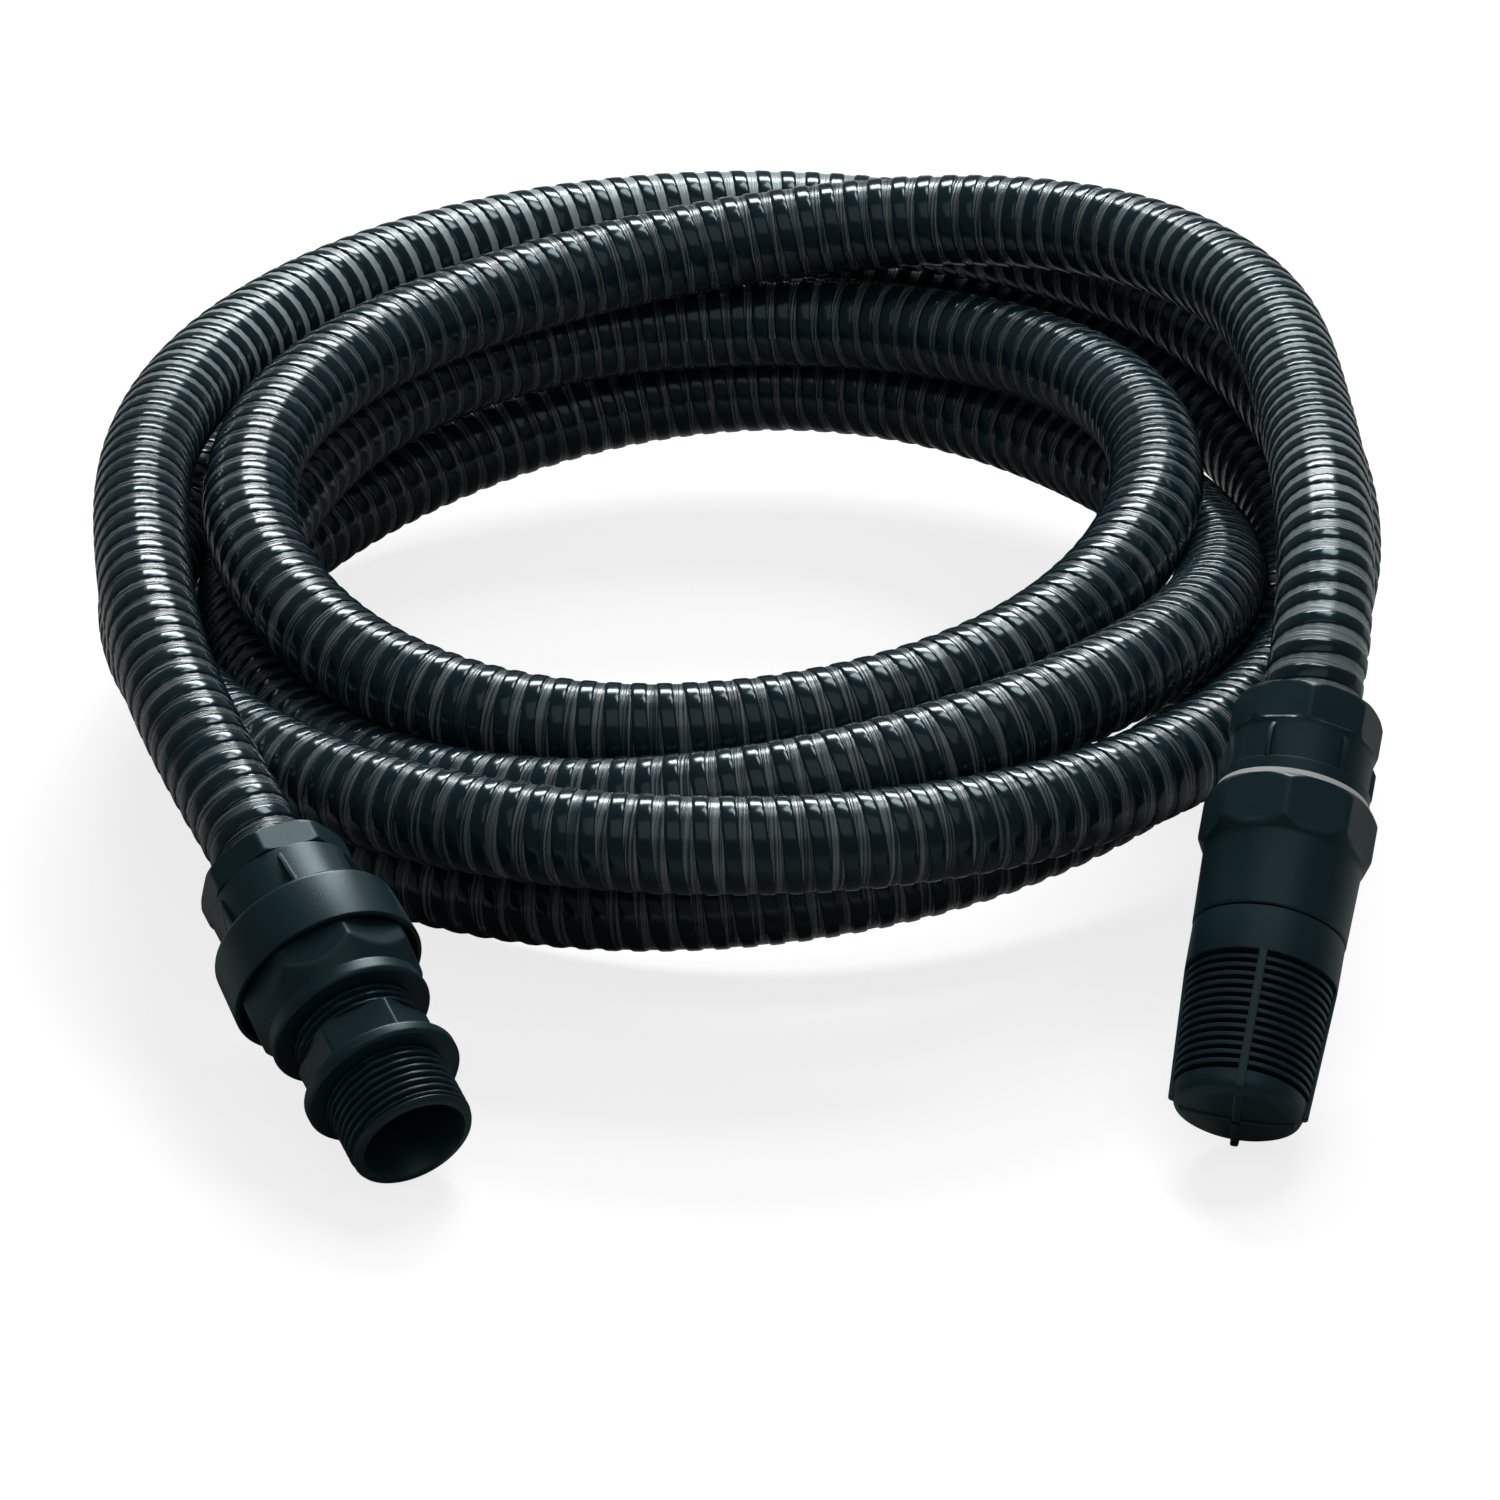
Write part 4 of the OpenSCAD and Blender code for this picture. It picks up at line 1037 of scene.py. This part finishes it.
class HOSE_OT_stage(bpy.types.Operator):
    """Set up the camera, the pale floor and the soft light"""
    bl_idname = "suction_hose.stage"
    bl_label = "Camera, floor and light"

    def execute(self, context):
        scene = context.scene
        lens = bpy.data.cameras.new("camera")
        lens.lens, lens.sensor_width = 237.33, 36.0
        lens.clip_end = 50
        eye = bpy.data.objects.new("camera", lens)
        turned_to(eye, (-0.0102, -2.2130, 1.2788), (-0.0102, 0.1958, -0.0060))
        scene.camera = eye

        mesh = bpy.data.meshes.new("floor")
        half = 12.0
        mesh.from_pydata(
            [(-half, -half, 0), (half, -half, 0), (half, half, 0), (-half, half, 0)], [], [(0, 1, 2, 3)])
        floor = bpy.data.objects.new("floor", mesh)
        scene.collection.objects.link(floor)
        paper = bpy.data.materials.new("Pale floor")
        paper.use_nodes = True
        seen = new_node(paper.node_tree, "ShaderNodeLightPath").outputs["Is Camera Ray"]
        glow = new_node(paper.node_tree, "ShaderNodeMath", {0: seen, 1: 0.8}, operation="MULTIPLY")
        feed(paper.node_tree.nodes["Principled BSDF"], {
            "Base Color": (0.33, 0.33, 0.33, 1), "Roughness": 0.9, "Specular IOR Level": 0.0,
            "Emission Color": (1, 1, 1, 1), "Emission Strength": glow})
        mesh.materials.append(paper)

        world = bpy.data.worlds.new("room")
        scene.world = world
        world.use_nodes = True
        seen = new_node(world.node_tree, "ShaderNodeLightPath").outputs["Is Camera Ray"]
        light, backdrop = 0.12, 1.0
        feed(world.node_tree.nodes["Background"], {
            "Color": (1, 1, 1, 1), "Strength": ramp(world.node_tree, seen, 0.0, 1.0, light, backdrop)})

        # Azimuth, elevation, distance, width, height and radiance
        softbox("back softbox", 2, 42, 2.2, 1.2, 0.5, 21.0)
        softbox("top softbox", 27, 63, 2.2, 0.9, 0.6, 9.0)
        softbox("front softbox", 180, 60, 2.2, 2.6, 1.6, 0.5)
        scene.view_settings.view_transform = "Standard"
        return {"FINISHED"}


class HOSE_PT_panel(bpy.types.Panel):
    """The hose's sizes, colours and steps"""
    bl_label = "Suction Hose"
    bl_idname = "HOSE_PT_panel"
    bl_space_type = "VIEW_3D"
    bl_region_type = "UI"
    bl_category = "Suction Hose"

    def draw(self, context):
        for settings in (context.scene.hose_sizes, context.scene.fitting_sizes, context.scene.hose_colours):
            box = self.layout.box()
            for name in settings.__annotations__:
                box.prop(settings, name)
        for step in STEPS:
            self.layout.operator(step.bl_idname)


STEPS = (
    HOSE_OT_stage, HOSE_OT_lay, HOSE_OT_pump_nut, HOSE_OT_pump_body, HOSE_OT_adapter, HOSE_OT_nipple,
    HOSE_OT_foot_nut, HOSE_OT_foot_body, HOSE_OT_strainer, HOSE_OT_inner_pieces,
)
SETTINGS = (HoseSizes, FittingSizes, Colours)


def register():
    for cls in SETTINGS + STEPS + (HOSE_PT_panel,):
        bpy.utils.register_class(cls)
    bpy.types.Scene.hose_sizes = bpy.props.PointerProperty(type=HoseSizes)
    bpy.types.Scene.fitting_sizes = bpy.props.PointerProperty(type=FittingSizes)
    bpy.types.Scene.hose_colours = bpy.props.PointerProperty(type=Colours)


def unregister():
    del bpy.types.Scene.hose_colours
    del bpy.types.Scene.fitting_sizes
    del bpy.types.Scene.hose_sizes
    for cls in reversed(SETTINGS + STEPS + (HOSE_PT_panel,)):
        bpy.utils.unregister_class(cls)


def main():
    register()
    for step in STEPS:
        group, name = step.bl_idname.split(".")
        getattr(getattr(bpy.ops, group), name)()


if __name__ == "__main__":
    main()
